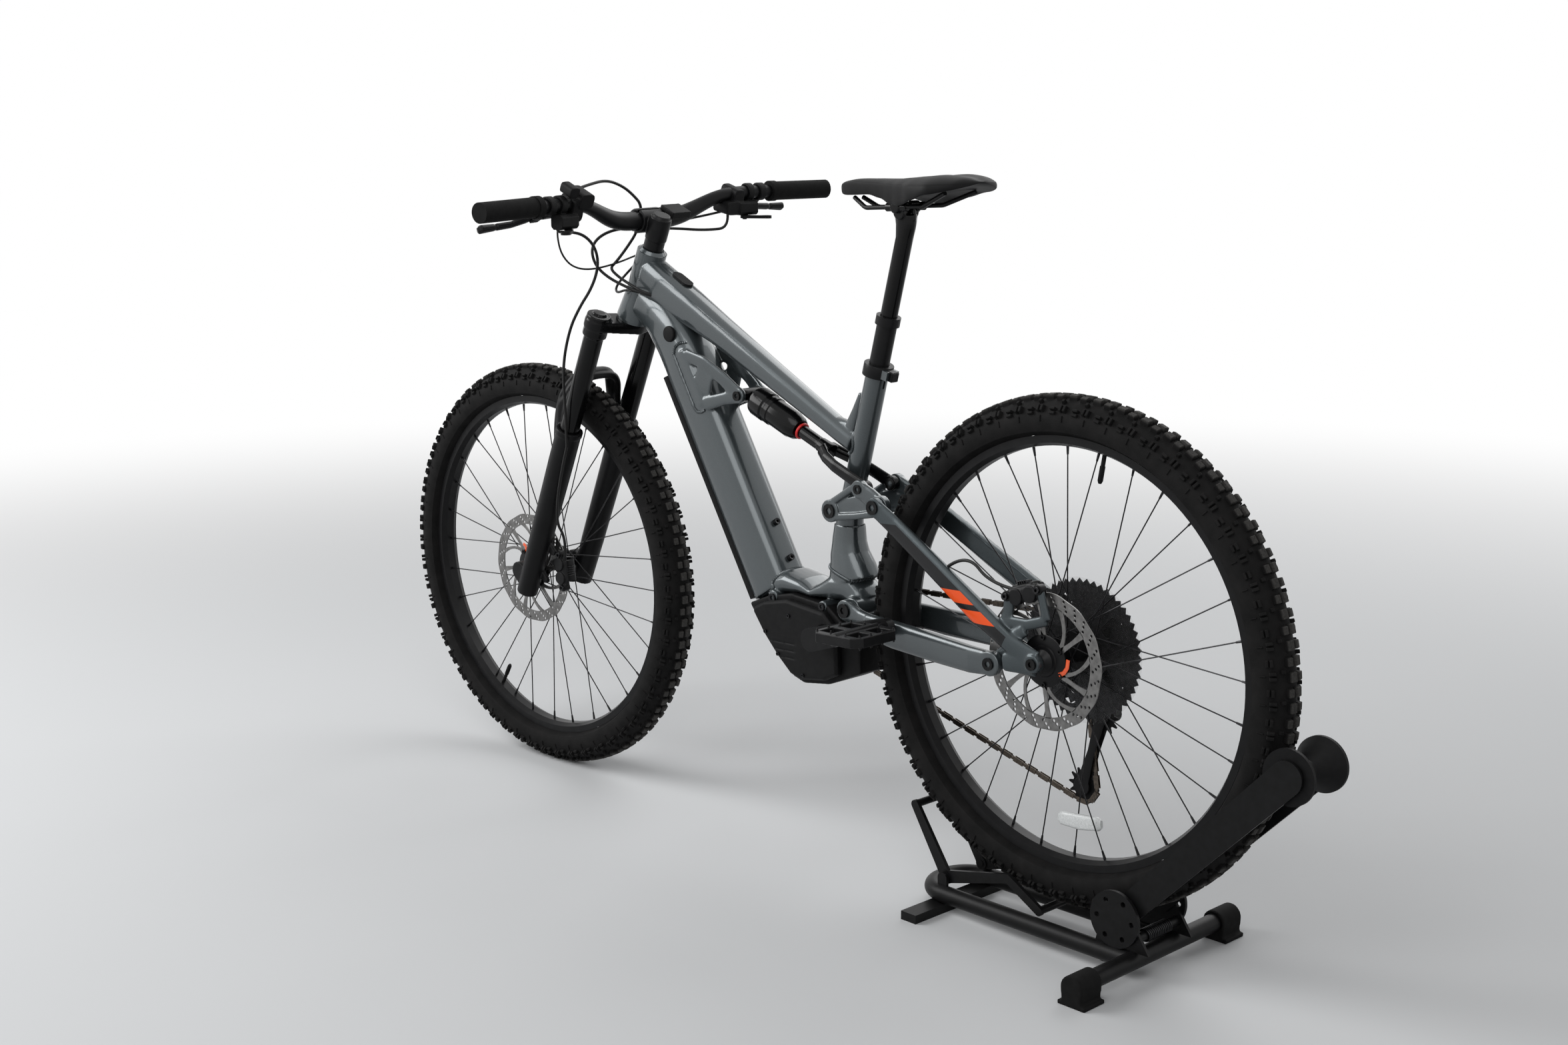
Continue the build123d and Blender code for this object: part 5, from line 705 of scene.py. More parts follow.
# Hoses and cables: looped before the head as photographed, in the steering's millimetres, bars first
cableLook = [
    # Each has a span, from the steering to the body that holds its far end
    {"name": "frontBrakeHose", "radius": 0.0025, "to": "fork_lowers", "span": ((42, 92, 552), (-4, 90, 320)),
     "points": [(39.1, 183.7, 738.1), (44, 194, 697), (33, 167, 701), (26, 143, 698), (17, 123, 683),
                (11, 110, 659), (13, 102, 629), (24, 96, 591), (42, 92, 552), (54, 92, 500), (44, 95, 430),
                (12, 93, 360), (-8, 88, 300)]},
    {"name": "rearBrakeHose", "radius": 0.0025, "to": "frame", "span": ((49, 70, 675), (-20, 45, 613)),
     "points": [(39.1, -183.7, 738.1), (5, -186, 699), (36, -154, 680), (61, -101, 676), (69, 1, 679),
                (72, 33, 676), (72, 59, 666), (69, 73, 652), (62, 75, 636), (51, 68, 619), (31, 55, 608),
                (-3, 44, 607), (-43, 36, 612), (-58, 14, 612)]},
    {"name": "gearCable", "radius": 0.0021, "to": "frame", "span": ((40, -14, 651), (-20, 45, 610)),
     "points": [(10, -186.6, 733.7), (40, -140, 706), (56, -60, 690), (42, -18, 630), (31, 15, 612),
                (31, 28, 596), (30, 32, 584), (19, 36, 583), (-5, 42, 603), (-43, 36, 613), (-58, 14, 612)]},
    {"name": "dropperCable", "radius": 0.0025, "to": "frame", "span": ((45, 33, 646), (-20, 45, 620)),
     "points": [(18, 186, 770), (58, 184, 753), (68, 155, 756), (78, 107, 762), (87, 62, 764), (84, 26, 753),
                (74, 5, 740), (59, -9, 725), (55, -10, 681), (49, 12, 652), (45, 32, 629), (40, 48, 621),
                (22, 43, 614), (-11, 39, 613), (-43, 36, 614), (-58, 14, 612)]},
    {"name": "displayWire", "radius": 0.0016, "to": "frame", "span": ((40, 39, 638), (0, -30, 640)),
     "points": [(14, 185, 742), (49, 182, 707), (51, 172, 678), (53, 152, 647), (49, 126, 625), (38, 96, 622),
                (40, 38, 628), (51, -24, 637), (32, -42, 655), (2, -34, 642), (-8, -12, 634)]},
]


def makeCable(run, place=steered):
    spots = [(place @ (Vector(spot) / 1000), 1.0) for spot in run["points"]]
    return tubeThrough(run["name"], [spots], run["radius"], roundness=3, steps=14)


cables = []
for run in cableLook:
    cable = dress(makeCable(run), "hoseSkin", None, "rubber_black", 60)
    start, end = run["span"]
    inSteering(start)
    inSteering(end)
    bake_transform(cable)
    cables.append(cable)
for cable in cables:
    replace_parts(cable, "cables")
print("hoses and cables made")

# Return spring of the stand, wound with close turns
springLook = {"at": (-0.163, 0.0, 0.058), "radius": 0.009, "wire": 0.0013, "sides": 8, "turns": 14,
              "length": 0.056, "steps": 28}


def makeSpring():
    deselectAll()
    bpy.ops.mesh.primitive_circle_add(vertices=springLook["sides"], radius=springLook["wire"],
                                      location=(springLook["radius"], 0, 0))
    spring = bpy.context.object
    spring.name = "returnSpring"
    bpy.ops.object.transform_apply(location=True, rotation=False, scale=False)
    applied(spring, "SCREW", axis="Y", angle=2 * math.pi, iterations=springLook["turns"],
            screw_offset=springLook["length"] / springLook["turns"], steps=springLook["steps"],
            render_steps=springLook["steps"])
    edited(spring, (bpy.ops.mesh.fill_holes, {"sides": springLook["sides"]}))
    edited(spring, weld, faceOut)
    middle = Matrix.Translation(Vector(springLook["at"]) - Vector((0, springLook["length"] / 2, 0)))
    return settlePlace(spring, onFloor @ middle)


spring = dress(makeSpring(), "boltSteel", "stand_base", "stand_black", 60)
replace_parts(spring, "stand_spring")
print("spring wound")

# Bolts with hexagon sockets, each seated on the node it goes into, then lowered if so said
boltLook = {
    "sides": 24, "sink": 0.0006, "rim": 0.16, "dish": 0.12, "deep": 0.7, "socket": 0.5, "clear": 0.3,
    # Places are x and z in millimetres from the rear axle
    "spots": [
        {"node": "chainstays", "body": "chainstays", "at": (399, 23), "radius": 0.0115, "height": 0.003},
        {"node": "rocker_link", "body": "rocker", "at": (434, 176), "radius": 0.0115, "height": 0.003},
        {"node": "rocker_link", "body": "rocker", "at": (371, 215), "radius": 0.0075, "height": 0.003},
        {"node": "seatstays", "body": "seatstays", "at": (328, 204), "radius": 0.0110, "height": 0.003,
         "lower": 12},
        {"node": "chainstays", "body": "chainstays", "at": (81, -11), "radius": 0.0095, "height": 0.003},
        {"node": "down_tube", "body": "frame", "at": (657, 351), "radius": 0.0080, "height": 0.004,
         "lower": 7},
    ],
}
pieceOf = {"down_tube": "downTubeSkin", "drive_unit_cover": "drive_unit_cover.skin"}


def seatOn(node, start, toward):
    piece = bpy.data.objects.get(pieceOf.get(node, ""), nodes[node])
    found, spot, normal, face = piece.ray_cast(start, toward)
    if not found:
        raise RuntimeError("nothing to seat on at " + node)
    return spot


def makeBolt(radius, height, socket):
    deselectAll()
    bpy.ops.mesh.primitive_cylinder_add(vertices=boltLook["sides"], radius=radius, depth=height,
                                        location=(0, 0, height / 2 - boltLook["sink"]))
    bolt = bpy.context.object
    bpy.ops.object.transform_apply(location=True, rotation=False, scale=False)
    selectFaces(bolt, lambda face: face.normal.z > 0.9)
    bpy.ops.mesh.inset(thickness=radius * boltLook["rim"])
    bpy.ops.mesh.inset(thickness=radius * (1 - boltLook["rim"]) - socket, depth=-height * boltLook["dish"])
    bpy.ops.object.mode_set(mode="OBJECT")
    for vert in bolt.data.vertices:
        if vert.select:
            turn = math.atan2(vert.co.y, vert.co.x) % (math.pi / 3) - math.pi / 6
            reach = socket * math.cos(math.pi / 6) / math.cos(turn) / math.hypot(vert.co.x, vert.co.y)
            vert.co.x *= reach
            vert.co.y *= reach
    bpy.ops.object.mode_set(mode="EDIT")
    bpy.ops.mesh.extrude_region_move(TRANSFORM_OT_translate={"value": (0, 0, -height * boltLook["deep"])})
    bpy.ops.object.mode_set(mode="OBJECT")
    return bolt


def facing(spot, outward):
    place = outward.to_track_quat("Z", "Y").to_matrix().to_4x4()
    place.translation = spot
    return place


def boltAt(radius, height, spot, outward):
    return settlePlace(makeBolt(radius, height, radius * boltLook["socket"]), facing(spot, outward))


boltsOf = {}
for spot in boltLook["spots"]:
    for sideSign in (1, -1):
        outward = (onStand.to_3x3() @ Vector((0, sideSign, 0))).normalized()
        hit = seatOn(spot["node"], bikeSpot(*spot["at"], boltLook["clear"] * sideSign), -outward)
        hit = hit + onStand.to_3x3() @ (Vector((0, 0, -spot.get("lower", 0))) / 1000)
        bolt = boltAt(spot["radius"], spot["height"], hit, outward)
        boltsOf.setdefault(spot["body"], []).append(bolt)
for body, bolts in boltsOf.items():
    dress(joinPieces(bolts, body + "Bolts"), "glossBlack", body, "black_metal")
print("pivot bolts made")

# How finely moulded pieces are made, where a piece doesn't say
mouldLook = {"around": 24, "power": 0.8, "keep": 0.3, "ease": 0.5, "finish": "blackAnodised",
             "drumSides": 40, "studSides": 10}


# A bar skinned through stations (x, y, z, half width, half height up and down), in millimetres
def skinBar(stations, around=mouldLook["around"], steps=5, power=mouldLook["power"]):
    deselectAll()
    bpy.ops.mesh.primitive_grid_add(x_subdivisions=around, y_subdivisions=steps * (len(stations) - 1),
                                    size=1.0)
    bar = bpy.context.object
    for vert in bar.data.vertices:
        walked = (vert.co.y + 0.5) * (len(stations) - 1)
        index = min(int(walked), len(stations) - 2)
        first, second = stations[index], stations[index + 1]
        spot = [low + (high - low) * (walked - index) for low, high in zip(first, second)]
        run = (Vector(second[:3]) - Vector(first[:3])).normalized()
        up = Vector((0, 1, 0)).cross(run).normalized()
        up = -up if up.z < -0.1 else up
        turn = 2 * math.pi * vert.co.x
        across, rise = (math.copysign(abs(value) ** power, value)
                        for value in (math.cos(turn), math.sin(turn)))
        rise *= spot[4] if rise > 0 else spot[-1]
        vert.co = (Vector(spot[:3]) + Vector((0, across * spot[3], 0)) + up * rise) / 1000
    return edited(bar, weld, (bpy.ops.mesh.fill_holes, {"sides": 0}), faceOut)


def roundBar(sides, radius, depth, location, turn=0.0):
    deselectAll()
    bpy.ops.mesh.primitive_cylinder_add(vertices=sides, radius=radius / 1000, depth=depth / 1000,
                                        location=location, rotation=(turn, 0, 0))
    bpy.ops.object.transform_apply(location=True, rotation=True, scale=False)
    return bpy.context.object


# A drum across the bicycle: x, z, radius, and from which y to which
def skinDrum(x, z, radius, low, high):
    middle = (x / 1000, (low + high) / 2000, z / 1000)
    return roundBar(mouldLook["drumSides"], radius, high - low, middle, math.pi / 2)


def skinStud(x, y, z, radius, height):
    return roundBar(mouldLook["studSides"], radius, height, (x / 1000, y / 1000, z / 1000))


def otherSide(stations):
    return [(x, -y, z, *rest) for x, y, z, *rest in stations]


def bothSides(bars):
    return [twin for bar in bars for twin in (bar, otherSide(bar))]


# Calipers stand on the rotors, turned about the wheel's axle
calipers = {"front": ("fork_lowers", -150), "rear": ("seatstays", -75)}


def caliperPlace(side):
    return wheels[side] @ turnedBy(calipers[side][1], "Y") @ Matrix.Translation((0, layout["rotor"][side], 0))


caliperBars = [[(99, 9.5, -27, 5.5, 12), (99, 9.5, 27, 5.5, 12)],
               [(99, -7, -23, 4.5, 12), (99, -7, 23, 4.5, 12)],
               [(110, 2, -19, 11, 4.5), (110, 2, 19, 11, 4.5)]]
caliperDrums = [(97, 13, 12, 8, 18), (97, -13, 12, 8, 18), (101, 30, 7.5, 4, 17), (101, -30, 7.5, 4, 17)]


# The derailleur's cage: two plates round the pulleys, which stand where the frame has them
def nodeMiddle(node):
    low, high = (Vector(corner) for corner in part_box(node))
    return onStand.inverted() @ ((low + high) / 2) * 1000


guide, tension = nodeMiddle("guide_pulley"), nodeMiddle("tension_pulley")
cageBars = [[(guide.x, y, guide.z, 1, 10), ((guide.x + tension.x) / 2, y, (guide.z + tension.z) / 2, 1, 6.5),
             (tension.x, y, tension.z, 1, 11)] for y in (-56.2, -43.8)]
cageDrums = [(spot.x, spot.z, radius, low, low + 2)
             for spot, radius in ((guide, 12), (tension, 14)) for low in (-57.2, -44.8)]
cageDrums += [(spot.x, spot.z, 3, -57.2, -42.8) for spot in (guide, tension)]
cageDrums += [(guide.x, guide.z, 6, -73, -57)]
pedalPins = [(x, y) for x in (-44, -15, 15, 44) for y in (12, 36, 60, 84) if abs(x) > 20 or y in (12, 84)]

# Brake levers: Z runs outwards along the bar and X forward and down
leverLook = {
    "outward": (-0.1118, 0.9932, 0.0331), "barEnd": (1, 390, 764), "inward": 150, "turn": 52,
    "lever": [[(36, 0, 4, 5, 8), (47, 0, 13, 5, 8), (60, 0, 34, 5, 7), (64, 0, 70, 5.5, 6.5),
               (66, 0, 98, 6.5, 8.5)]],
    "master": [[(24, 0, -62, 7, 7), (24, 0, -40, 10, 10), (25, 0, 0, 11, 11), (30, 0, 12, 8, 8)]],
}


def leverPlace():
    outward = Vector(leverLook["outward"]).normalized()
    ahead = Vector((outward.y, -outward.x, 0)).normalized()
    place = Matrix((ahead, outward.cross(ahead), outward)).transposed().to_4x4()
    place.translation = (Vector(leverLook["barEnd"]) - outward * leverLook["inward"]) / 1000
    return place @ turnedBy(leverLook["turn"], "Z")


levers = {"left": steered @ leverPlace(), "right": steered @ Matrix.Diagonal((1, -1, 1, 1)) @ leverPlace()}

# Forged, cast and moulded pieces: the solid or a few bars and drums, blended into one rounded skin
mouldPieces = [
    # A body that is left out has the node's name
    {"node": "motor_cradle", "body": "frame", "finish": "framePaint", "voxel": 0.0017, "rounds": 10,
     "bars": [[(632, 0, 14, 34, 9), (600, 0, 34, 37, 18), (560, 0, 44, 37.5, 20), (525, 0, 42, 37.5, 14),
               (500, 0, 35, 37, 9)],
              [(500, 0, 35, 37, 9), (475, 0, 42, 36.5, 16), (450, 0, 50, 35.5, 24), (427, 0, 50, 35, 24),
               (406, 0, 38, 34, 19), (393, 0, 29, 33, 13)],
              [(436.5, 0, 150, 23, 23.5), (439, 0, 120, 25.5, 27), (438, 0, 98, 29, 32), (433, 0, 78, 32, 39),
               (429, 0, 60, 34, 44)]],
     "drums": [(399, 23, 18, -29, 43.5), (577, 22, 10.5, -43, 43), (463, 19, 9.5, -43, 43)]},
    {"node": "chainstays", "finish": "framePaint", "voxel": 0.0016, "rounds": 8, "power": 0.55,
     "mirrored": True,
     "bars": [[(352, 54.5, 5, 8.5, 19), (290, 59, -1, 10, 21.5), (200, 67, -7, 11, 21.5),
               (120, 78, -11, 9, 20), (84, 80, -11, 7, 18)]],
     "lone": [[(399, 51, 23, 7, 16.5), (372, 52, 12, 7.5, 15.5), (345, 54.5, 4, 8.5, 19)],
              [(399, -40, 23, 4.2, 16), (352, -41.5, 4, 6, 17), (335, -50, 2, 8, 18)]],
     "drums": [(81, -11, 18.5, 73, 87), (81, -11, 5, 61, 80)],
     "loneDrums": [(399, 23, 17, 44, 58), (399, 23, 16, -44, -30), (399, 23, 10, -44, 58)]},
    {"node": "seatstays", "solid": "right", "finish": "stayPaint", "voxel": 0.0016, "rounds": 7,
     "mirrored": True,
     "bars": [[(328, 55, 192, 6, 14.5, 14.5), (290, 55.3, 169, 6.2, 15, 16), (200, 63, 116, 8, 15, 19),
               (110, 72, 62.5, 9.5, 15, 21), (70, 76, 39, 9.5, 14, 17), (48, 79, 24, 7, 14, 14),
               (0, 80, 0, 5.8, 19.5, 19.5)],
              [(57, 80, -5, 5.5, 13.5), (30, 80, -2.5, 5.7, 16), (0, 80, 0, 5.8, 19.5)],
              [(48, 66.8, 18, 5.7, 12), (81, 66.8, -11, 5.7, 14)]],
     "lone": [[(66, 70, 36, 4.5, 12), (56, 69, 66, 4.2, 9), (54, 69, 88, 4.2, 9)],
              [(60, 70, 50, 4.5, 11), (20, 69.5, 52, 4.2, 8.5), (-14, 69.5, 62, 4.2, 8)],
              [(-14, 69.5, 62, 4.2, 8), (-9, 69.5, 84, 4.2, 6.5), (-3, 69.5, 104, 4.2, 7)],
              [(50, 74, 26, 5, 12), (24, 72, 44, 4.5, 9)]],
     "drums": [(81, -11, 14, 61.2, 72.3), (328, 192, 15, 49.2, 61)],
     "loneDrums": [(0, 0, 6, -86, 86), (0, 0, 13, 74.5, 88)]},
    {"node": "rocker_link", "body": "rocker", "finish": "framePaint", "voxel": 0.0011, "rounds": 4,
     "power": 0.6, "mirrored": True,
     "bars": [[(434, 40.5, 176, 4, 16), (381, 40, 186, 3.7, 18), (328, 41, 192, 5, 16)],
              [(434, 42, 165.5, 6, 6), (381, 42, 172, 6, 5.5), (328, 42, 181, 6, 6)],
              [(437, 42, 186, 6, 6), (402, 42, 206, 6, 5.5), (374, 42, 222, 6, 6)],
              [(371, 42, 215, 6, 13), (350, 42, 204, 6, 15), (328, 42, 192, 6, 14)]],
     "drums": [(434, 176, 18, 36.3, 48), (371, 215, 14, 36.3, 48), (328, 192, 16.5, 36.3, 48),
               (371, 215, 5, 24, 40), (328, 192, 5, 40, 61)],
     "loneDrums": [(434, 176, 9, -40, 40)]},
    {"node": "shock_yoke", "finish": "glossBlack", "voxel": 0.0010, "rounds": 7, "power": 1.0,
     "mirrored": True,
     "bars": [[(484, 10, 266, 9, 11), (466, 20, 256, 8, 10), (440, 28, 244.5, 5.8, 10),
               (404, 29.5, 229, 5.4, 10.5), (371, 29.5, 215, 5.4, 11)]],
     "lone": [[(565.8, 0, 302.9, 11, 11), (480, 0, 264, 11, 11)],
              [(496, 0, 271.4, 12, 12), (472, 0, 260.6, 15, 13)]],
     "drums": [(371, 215, 12, 24.2, 35)]},
    {"node": "drive_unit", "solid": True, "body": "frame", "finish": "mouldedBlack", "voxel": 0.0017,
     "rounds": 8},
    {"node": "drive_unit_cover", "solid": True, "body": "frame", "finish": "mouldedBlack", "voxel": 0.0012,
     "rounds": 3},
    {"node": "fork_upper", "solid": True, "body": "steering", "finish": "glossBlack", "voxel": 0.0015,
     "rounds": 9},
    {"node": "fork_lowers", "solid": True, "finish": "forkLacquer", "voxel": 0.0014, "rounds": 5, "keep": 0.2,
     "hoses": [{"name": "archRib", "radius": 0.0065,
                "points": [(28 + x, 66, 270), (58 + x, 64, 335), (56 + x, 46, 398), (54 + x, 0, 405),
                           (56 + x, -46, 398), (58 + x, -64, 335), (28 + x, -66, 270)]}
               for x in (-10, -1, 8)]},
    {"node": "dropper_post", "body": "seat", "finish": "glossBlack", "voxel": 0.0009, "rounds": 3,
     "power": 1.0,
     "bars": [[(365.7, 0, 392.5, 13.5, 13.5), (301.7, 0, 595.6, 13.5, 13.5), (297.5, 0, 616, 14, 17),
               (297, 0, 630, 15, 19)],
              *bothSides([[(276, 19, 642, 6, 6.5), (318, 19, 642, 6, 6.5)]])],
     "drums": [(297, 634, 11, -17, 17), (297, 641, 8.5, -26, 26), (281, 646, 5, -9, 9), (313, 646, 5, -9, 9)],
     "studs": [(281, 0, 634, 3.2, 26), (313, 0, 634, 3.2, 26)]},
    *[{"node": side + "_caliper", "body": body, "voxel": 0.0009, "rounds": 4, "place": caliperPlace(side),
       "bars": caliperBars, "drums": caliperDrums} for side, (body, turn) in calipers.items()],
    {"node": "derailleur_cage", "voxel": 0.0006, "rounds": 2, "bars": cageBars, "drums": cageDrums},
    {"node": "derailleur_knuckle", "solid": True, "voxel": 0.0008, "rounds": 5},
    *[{"node": side + "_pedal", "solid": True, "voxel": 0.0009, "rounds": 2,
       "drums": [(x, z, 10.5, *sorted((98 * sign, 192 * sign)))],
       "studs": [(x + pinX, (98 + pinY) * sign, z, 1.6, 23) for pinX, pinY in pedalPins]}
      for side, sign, x, z in (("left", 1, 288.9, 14.9), ("right", -1, 609.1, -64.9))],
    {"node": "stem", "solid": True, "body": "steering", "voxel": 0.0009, "rounds": 5},
    {"node": "bar_controls", "solid": True, "body": "steering", "finish": "mouldedBlack", "voxel": 0.0009,
     "rounds": 5, "place": steered, "power": 0.55,
     "bars": [[(8, 199, 783, 10, 9), (36, 199, 783, 10, 9)], [(4, 172, 768, 15, 13), (42, 172, 768, 15, 13)],
              [(6, 184, 752, 11, 19), (44, 184, 748, 11, 19)],
              [(6, -184, 752, 12, 17), (44, -184, 748, 12, 17)],
              [(0, -172, 738, 17, 12), (36, -172, 730, 17, 12)]]},
    *[{"node": "bar_controls", "name": side + "Master", "body": "steering", "voxel": 0.0009, "rounds": 4,
       "place": place, "bars": leverLook["master"]} for side, place in levers.items()],
    *[{"node": side + "_brake_lever", "solid": True, "voxel": 0.0007, "rounds": 4, "place": place,
       "bars": leverLook["lever"]} for side, place in levers.items()],
    {"node": "stand_feet", "solid": True, "body": "stand_base", "finish": "gripRubber", "voxel": 0.0014,
     "rounds": 9},
]
slotOf = {"framePaint": "frame_paint", "stayPaint": "frame_paint", "mouldedBlack": "black_plastic",
          "gripRubber": "rubber_black"}


# Copies of a node's separate solids, those that pass the test
def loosePieces(node, test):
    solid = edited(linked(node, nodes[node].data.copy()), weld, faceOut)
    edited(solid, (bpy.ops.mesh.separate, {"type": "LOOSE"}))
    parts = list(bpy.context.selected_objects)
    kept = [part for part in parts if test(part)]
    for part in parts:
        if part not in kept:
            bpy.data.objects.remove(part)
    return kept


def onTheRight(part):
    return max(vert.co.y for vert in part.data.vertices) < 0


def moulded(look):
    bars, drums = list(look.get("bars", [])), list(look.get("drums", []))
    if look.get("mirrored"):
        bars += [otherSide(bar) for bar in bars]
        drums += [(x, z, radius, -high, -low) for x, z, radius, low, high in drums]
    lumps = [skinBar(bar, look["around"], power=look["power"]) for bar in bars + look.get("lone", [])]
    lumps += [skinDrum(*drum) for drum in drums + look.get("loneDrums", [])]
    lumps += [skinStud(*stud) for stud in look.get("studs", [])]
    lumps = [settlePlace(lump, look.get("place", onStand)) for lump in lumps]
    lumps += [makeCable(run) for run in look.get("hoses", [])]
    if "solid" in look:
        lumps += loosePieces(look["node"], onTheRight if look["solid"] == "right" else lambda part: True)
    piece = joinPieces(lumps, look.get("name", look["node"] + ".skin"))
    applied(piece, "REMESH", mode="VOXEL", voxel_size=look["voxel"])
    applied(piece, "SMOOTH", factor=look["ease"], iterations=look["rounds"])
    return applied(piece, "DECIMATE", ratio=look["keep"])


def makeMoulded(look, angle):
    look = {**mouldLook, **look}
    slotName = slotOf.get(look["finish"], "alloy")
    piece = dress(moulded(look), look["finish"], look.get("body", look["node"]), slotName, angle)
    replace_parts(piece, look["node"])
    print("moulded", piece.name, len(piece.data.polygons))
    return piece


for look in mouldPieces:
    makeMoulded(look, 50)

# Main tubes: the top tube deep at the head, the down tube bent and drawn in where it meets the head
topLook = {
    "node": "top_tube", "body": "frame", "finish": "framePaint", "name": "topTubeSkin",
    "voxel": 0.0017, "rounds": 6, "around": 48, "power": 0.72,
    "from": (903.94, 546.86), "to": (404.05, 271.0),
    # Share of the way, half width, and half height up and down
    "sections": [(0.00, 25.0, 30.5, 60.0), (0.10, 25.5, 29.5, 46.0), (0.22, 24.0, 28.0, 33.0),
                 (0.36, 22.0, 24.5, 24.5), (0.61, 19.2, 20.3, 20.0), (0.85, 17.0, 17.0, 16.6),
                 (0.972, 16.5, 16.0, 15.6)],
    "lone": [[(398, 0, 358, 8, 5), (411, 0, 330, 9, 8), (426, 0, 300, 10, 12)],
             [(426, 0, 300, 10, 12), (444, 0, 307, 10, 9), (472, 0, 317, 9, 4)]],
}
downLook = {
    "node": "down_tube", "body": "frame", "finish": "framePaint", "name": "downTubeSkin",
    "voxel": 0.0017, "rounds": 9, "around": 64, "power": 0.68, "keep": 0.4,
    "foot": (598.0, 26.0), "along": (0.477, 0.879), "rise": 61.5, "bendFrom": 409.8, "bendRadius": 180.0,
    "bend": 28.2,
    # Millimetres from the foot, half width, and half height up and down
    "sections": [(0, 38.0, 42, 48), (409.8, 38.0, 42, 48), (425, 37.6, 42, 47), (440, 37.0, 42, 46),
                 (454, 36.2, 42, 44), (468, 35.2, 42, 42), (483, 34.0, 42, 39), (498.4, 32.5, 42, 35),
                 (518, 30.0, 41, 28), (545, 27.0, 39, 26), (572, 25.0, 37, 25)],
    "lone": bothSides([
        [(657, 24.5, 344, 4.5, 13), (692, 28.175, 371, 4.5, 12), (735, 32.34, 396, 3.5, 12),
         (776, 34.3, 408, 3, 10)],
        [(657, 24.5, 344, 4.5, 13), (690, 28.175, 338, 4.5, 11), (718, 32.34, 331, 3.5, 12),
         (742, 34.3, 326, 3, 10)],
        [(787, 34.3, 413, 3.5, 10), (763, 34.3, 369, 3.5, 10), (740, 34.3, 325, 3.5, 10)],
        [(716, 31.68, 357, 3.2, 16), (752, 33.66, 370, 3, 32)]]),
    "loneDrums": [(657, 344, 5, -29, 29), (657, 344, 13, 20, 29), (657, 344, 13, -29, -20)],
}


def downStation(walked, side, up, down):
    reach, drop, radius = walked, 0.0, downLook["bendRadius"]
    if walked > downLook["bendFrom"]:
        turn = min((walked - downLook["bendFrom"]) / radius, math.radians(downLook["bend"]))
        rest = walked - downLook["bendFrom"] - turn * radius
        reach = downLook["bendFrom"] + radius * math.sin(turn) + rest * math.cos(turn)
        drop = radius * (math.cos(turn) - 1) - rest * math.sin(turn)
    (x, z), (alongX, alongZ) = downLook["foot"], downLook["along"]
    return (x + alongX * reach - alongZ * drop, 0, z + alongZ * reach + alongX * drop, side, up, down)


(headX, headZ), (seatX, seatZ) = topLook["from"], topLook["to"]
topLook["bars"] = [[(headX + (seatX - headX) * share, 0, headZ + (seatZ - headZ) * share, side, up, down)
                    for share, side, up, down in topLook["sections"]]]
downLook["bars"] = [[downStation(*section) for section in downLook["sections"]]]
topTube, downTube = (makeMoulded(look, 60) for look in (topLook, downLook))
print("main tubes made")

# Weld beads: rippled runs laid where one tube meets the next
beadLook = {
    "radius": 0.0034, "ripple": 0.42, "pitch": 0.0030, "samples": 420, "lift": 0.0006, "break": 0.010,
    "pad": [(778, 428), (790, 427), (799, 419), (801, 408), (754, 320), (747, 314), (738, 314), (730, 318)],
    "padSteps": 24, "clear": 0.2, "ringClear": 0.1,
    "head": ((745, 459), 0.26), "seat": ((480, 313), 0.12), "cradle": ((660, 140), 0.20), "post": (430, 71),
}


def raysAbout(axis):
    side = axis.orthogonal().normalized()
    for index in range(beadLook["samples"]):
        yield Matrix.Rotation(2 * math.pi * index / beadLook["samples"], 3, axis) @ side


def castOn(piece, start, toward, reach=10.0):
    found, spot, normal, face = piece.ray_cast(start, toward, distance=reach)
    return spot if found else None


# Where lines along a tube's skin first meet the pieces that it is welded to
def beadSpots(key, tube, bases, axis):
    at, reach = beadLook[key]
    start = bikeSpot(*at)
    spots = []
    for out in raysAbout(axis):
        skin = castOn(tube, start + out * beadLook["clear"], -out)
        nearest = None
        for base in bases if skin is not None else []:
            spot = castOn(base, skin + out * beadLook["lift"], axis, reach)
            if spot is not None and (nearest is None or (spot - skin).length < (nearest - skin).length):
                nearest = spot
        spots.append(nearest)
    return spots


def ringSpots(piece, middle, axis):
    return [castOn(piece, middle + out * beadLook["ringClear"], -out) for out in raysAbout(axis)]


# A run along the shock mount's foot, on the skin of the tube
def padSpots(sideSign):
    spots = []
    for (x, z), (nextX, nextZ) in zip(beadLook["pad"], beadLook["pad"][1:]):
        for part in range(beadLook["padSteps"]):
            share = part / beadLook["padSteps"]
            start = bikeSpot(x + (nextX - x) * share, z + (nextZ - z) * share, beadLook["clear"] * sideSign)
            spots.append(castOn(downTube, start, onStand.to_3x3() @ Vector((0, -sideSign, 0))))
    return spots + [None]


def makeBead(name, spots):
    runs = [[]]
    for spot in spots + spots[:1]:
        if spot is None or (runs[-1] and (spot - runs[-1][-1][0]).length > beadLook["break"]):
            runs.append([])
        if spot is not None:
            walked = runs[-1][-1][1] + (spot - runs[-1][-1][0]).length if runs[-1] else 0.0
            runs[-1].append((spot, walked))
    runs = [[(spot, 1 - beadLook["ripple"] * (walked / beadLook["pitch"] % 1.0)) for spot, walked in run]
            for run in runs if len(run) > 3]
    return tubeThrough(name, runs, beadLook["radius"], roundness=1, kind="POLY", caps=False)


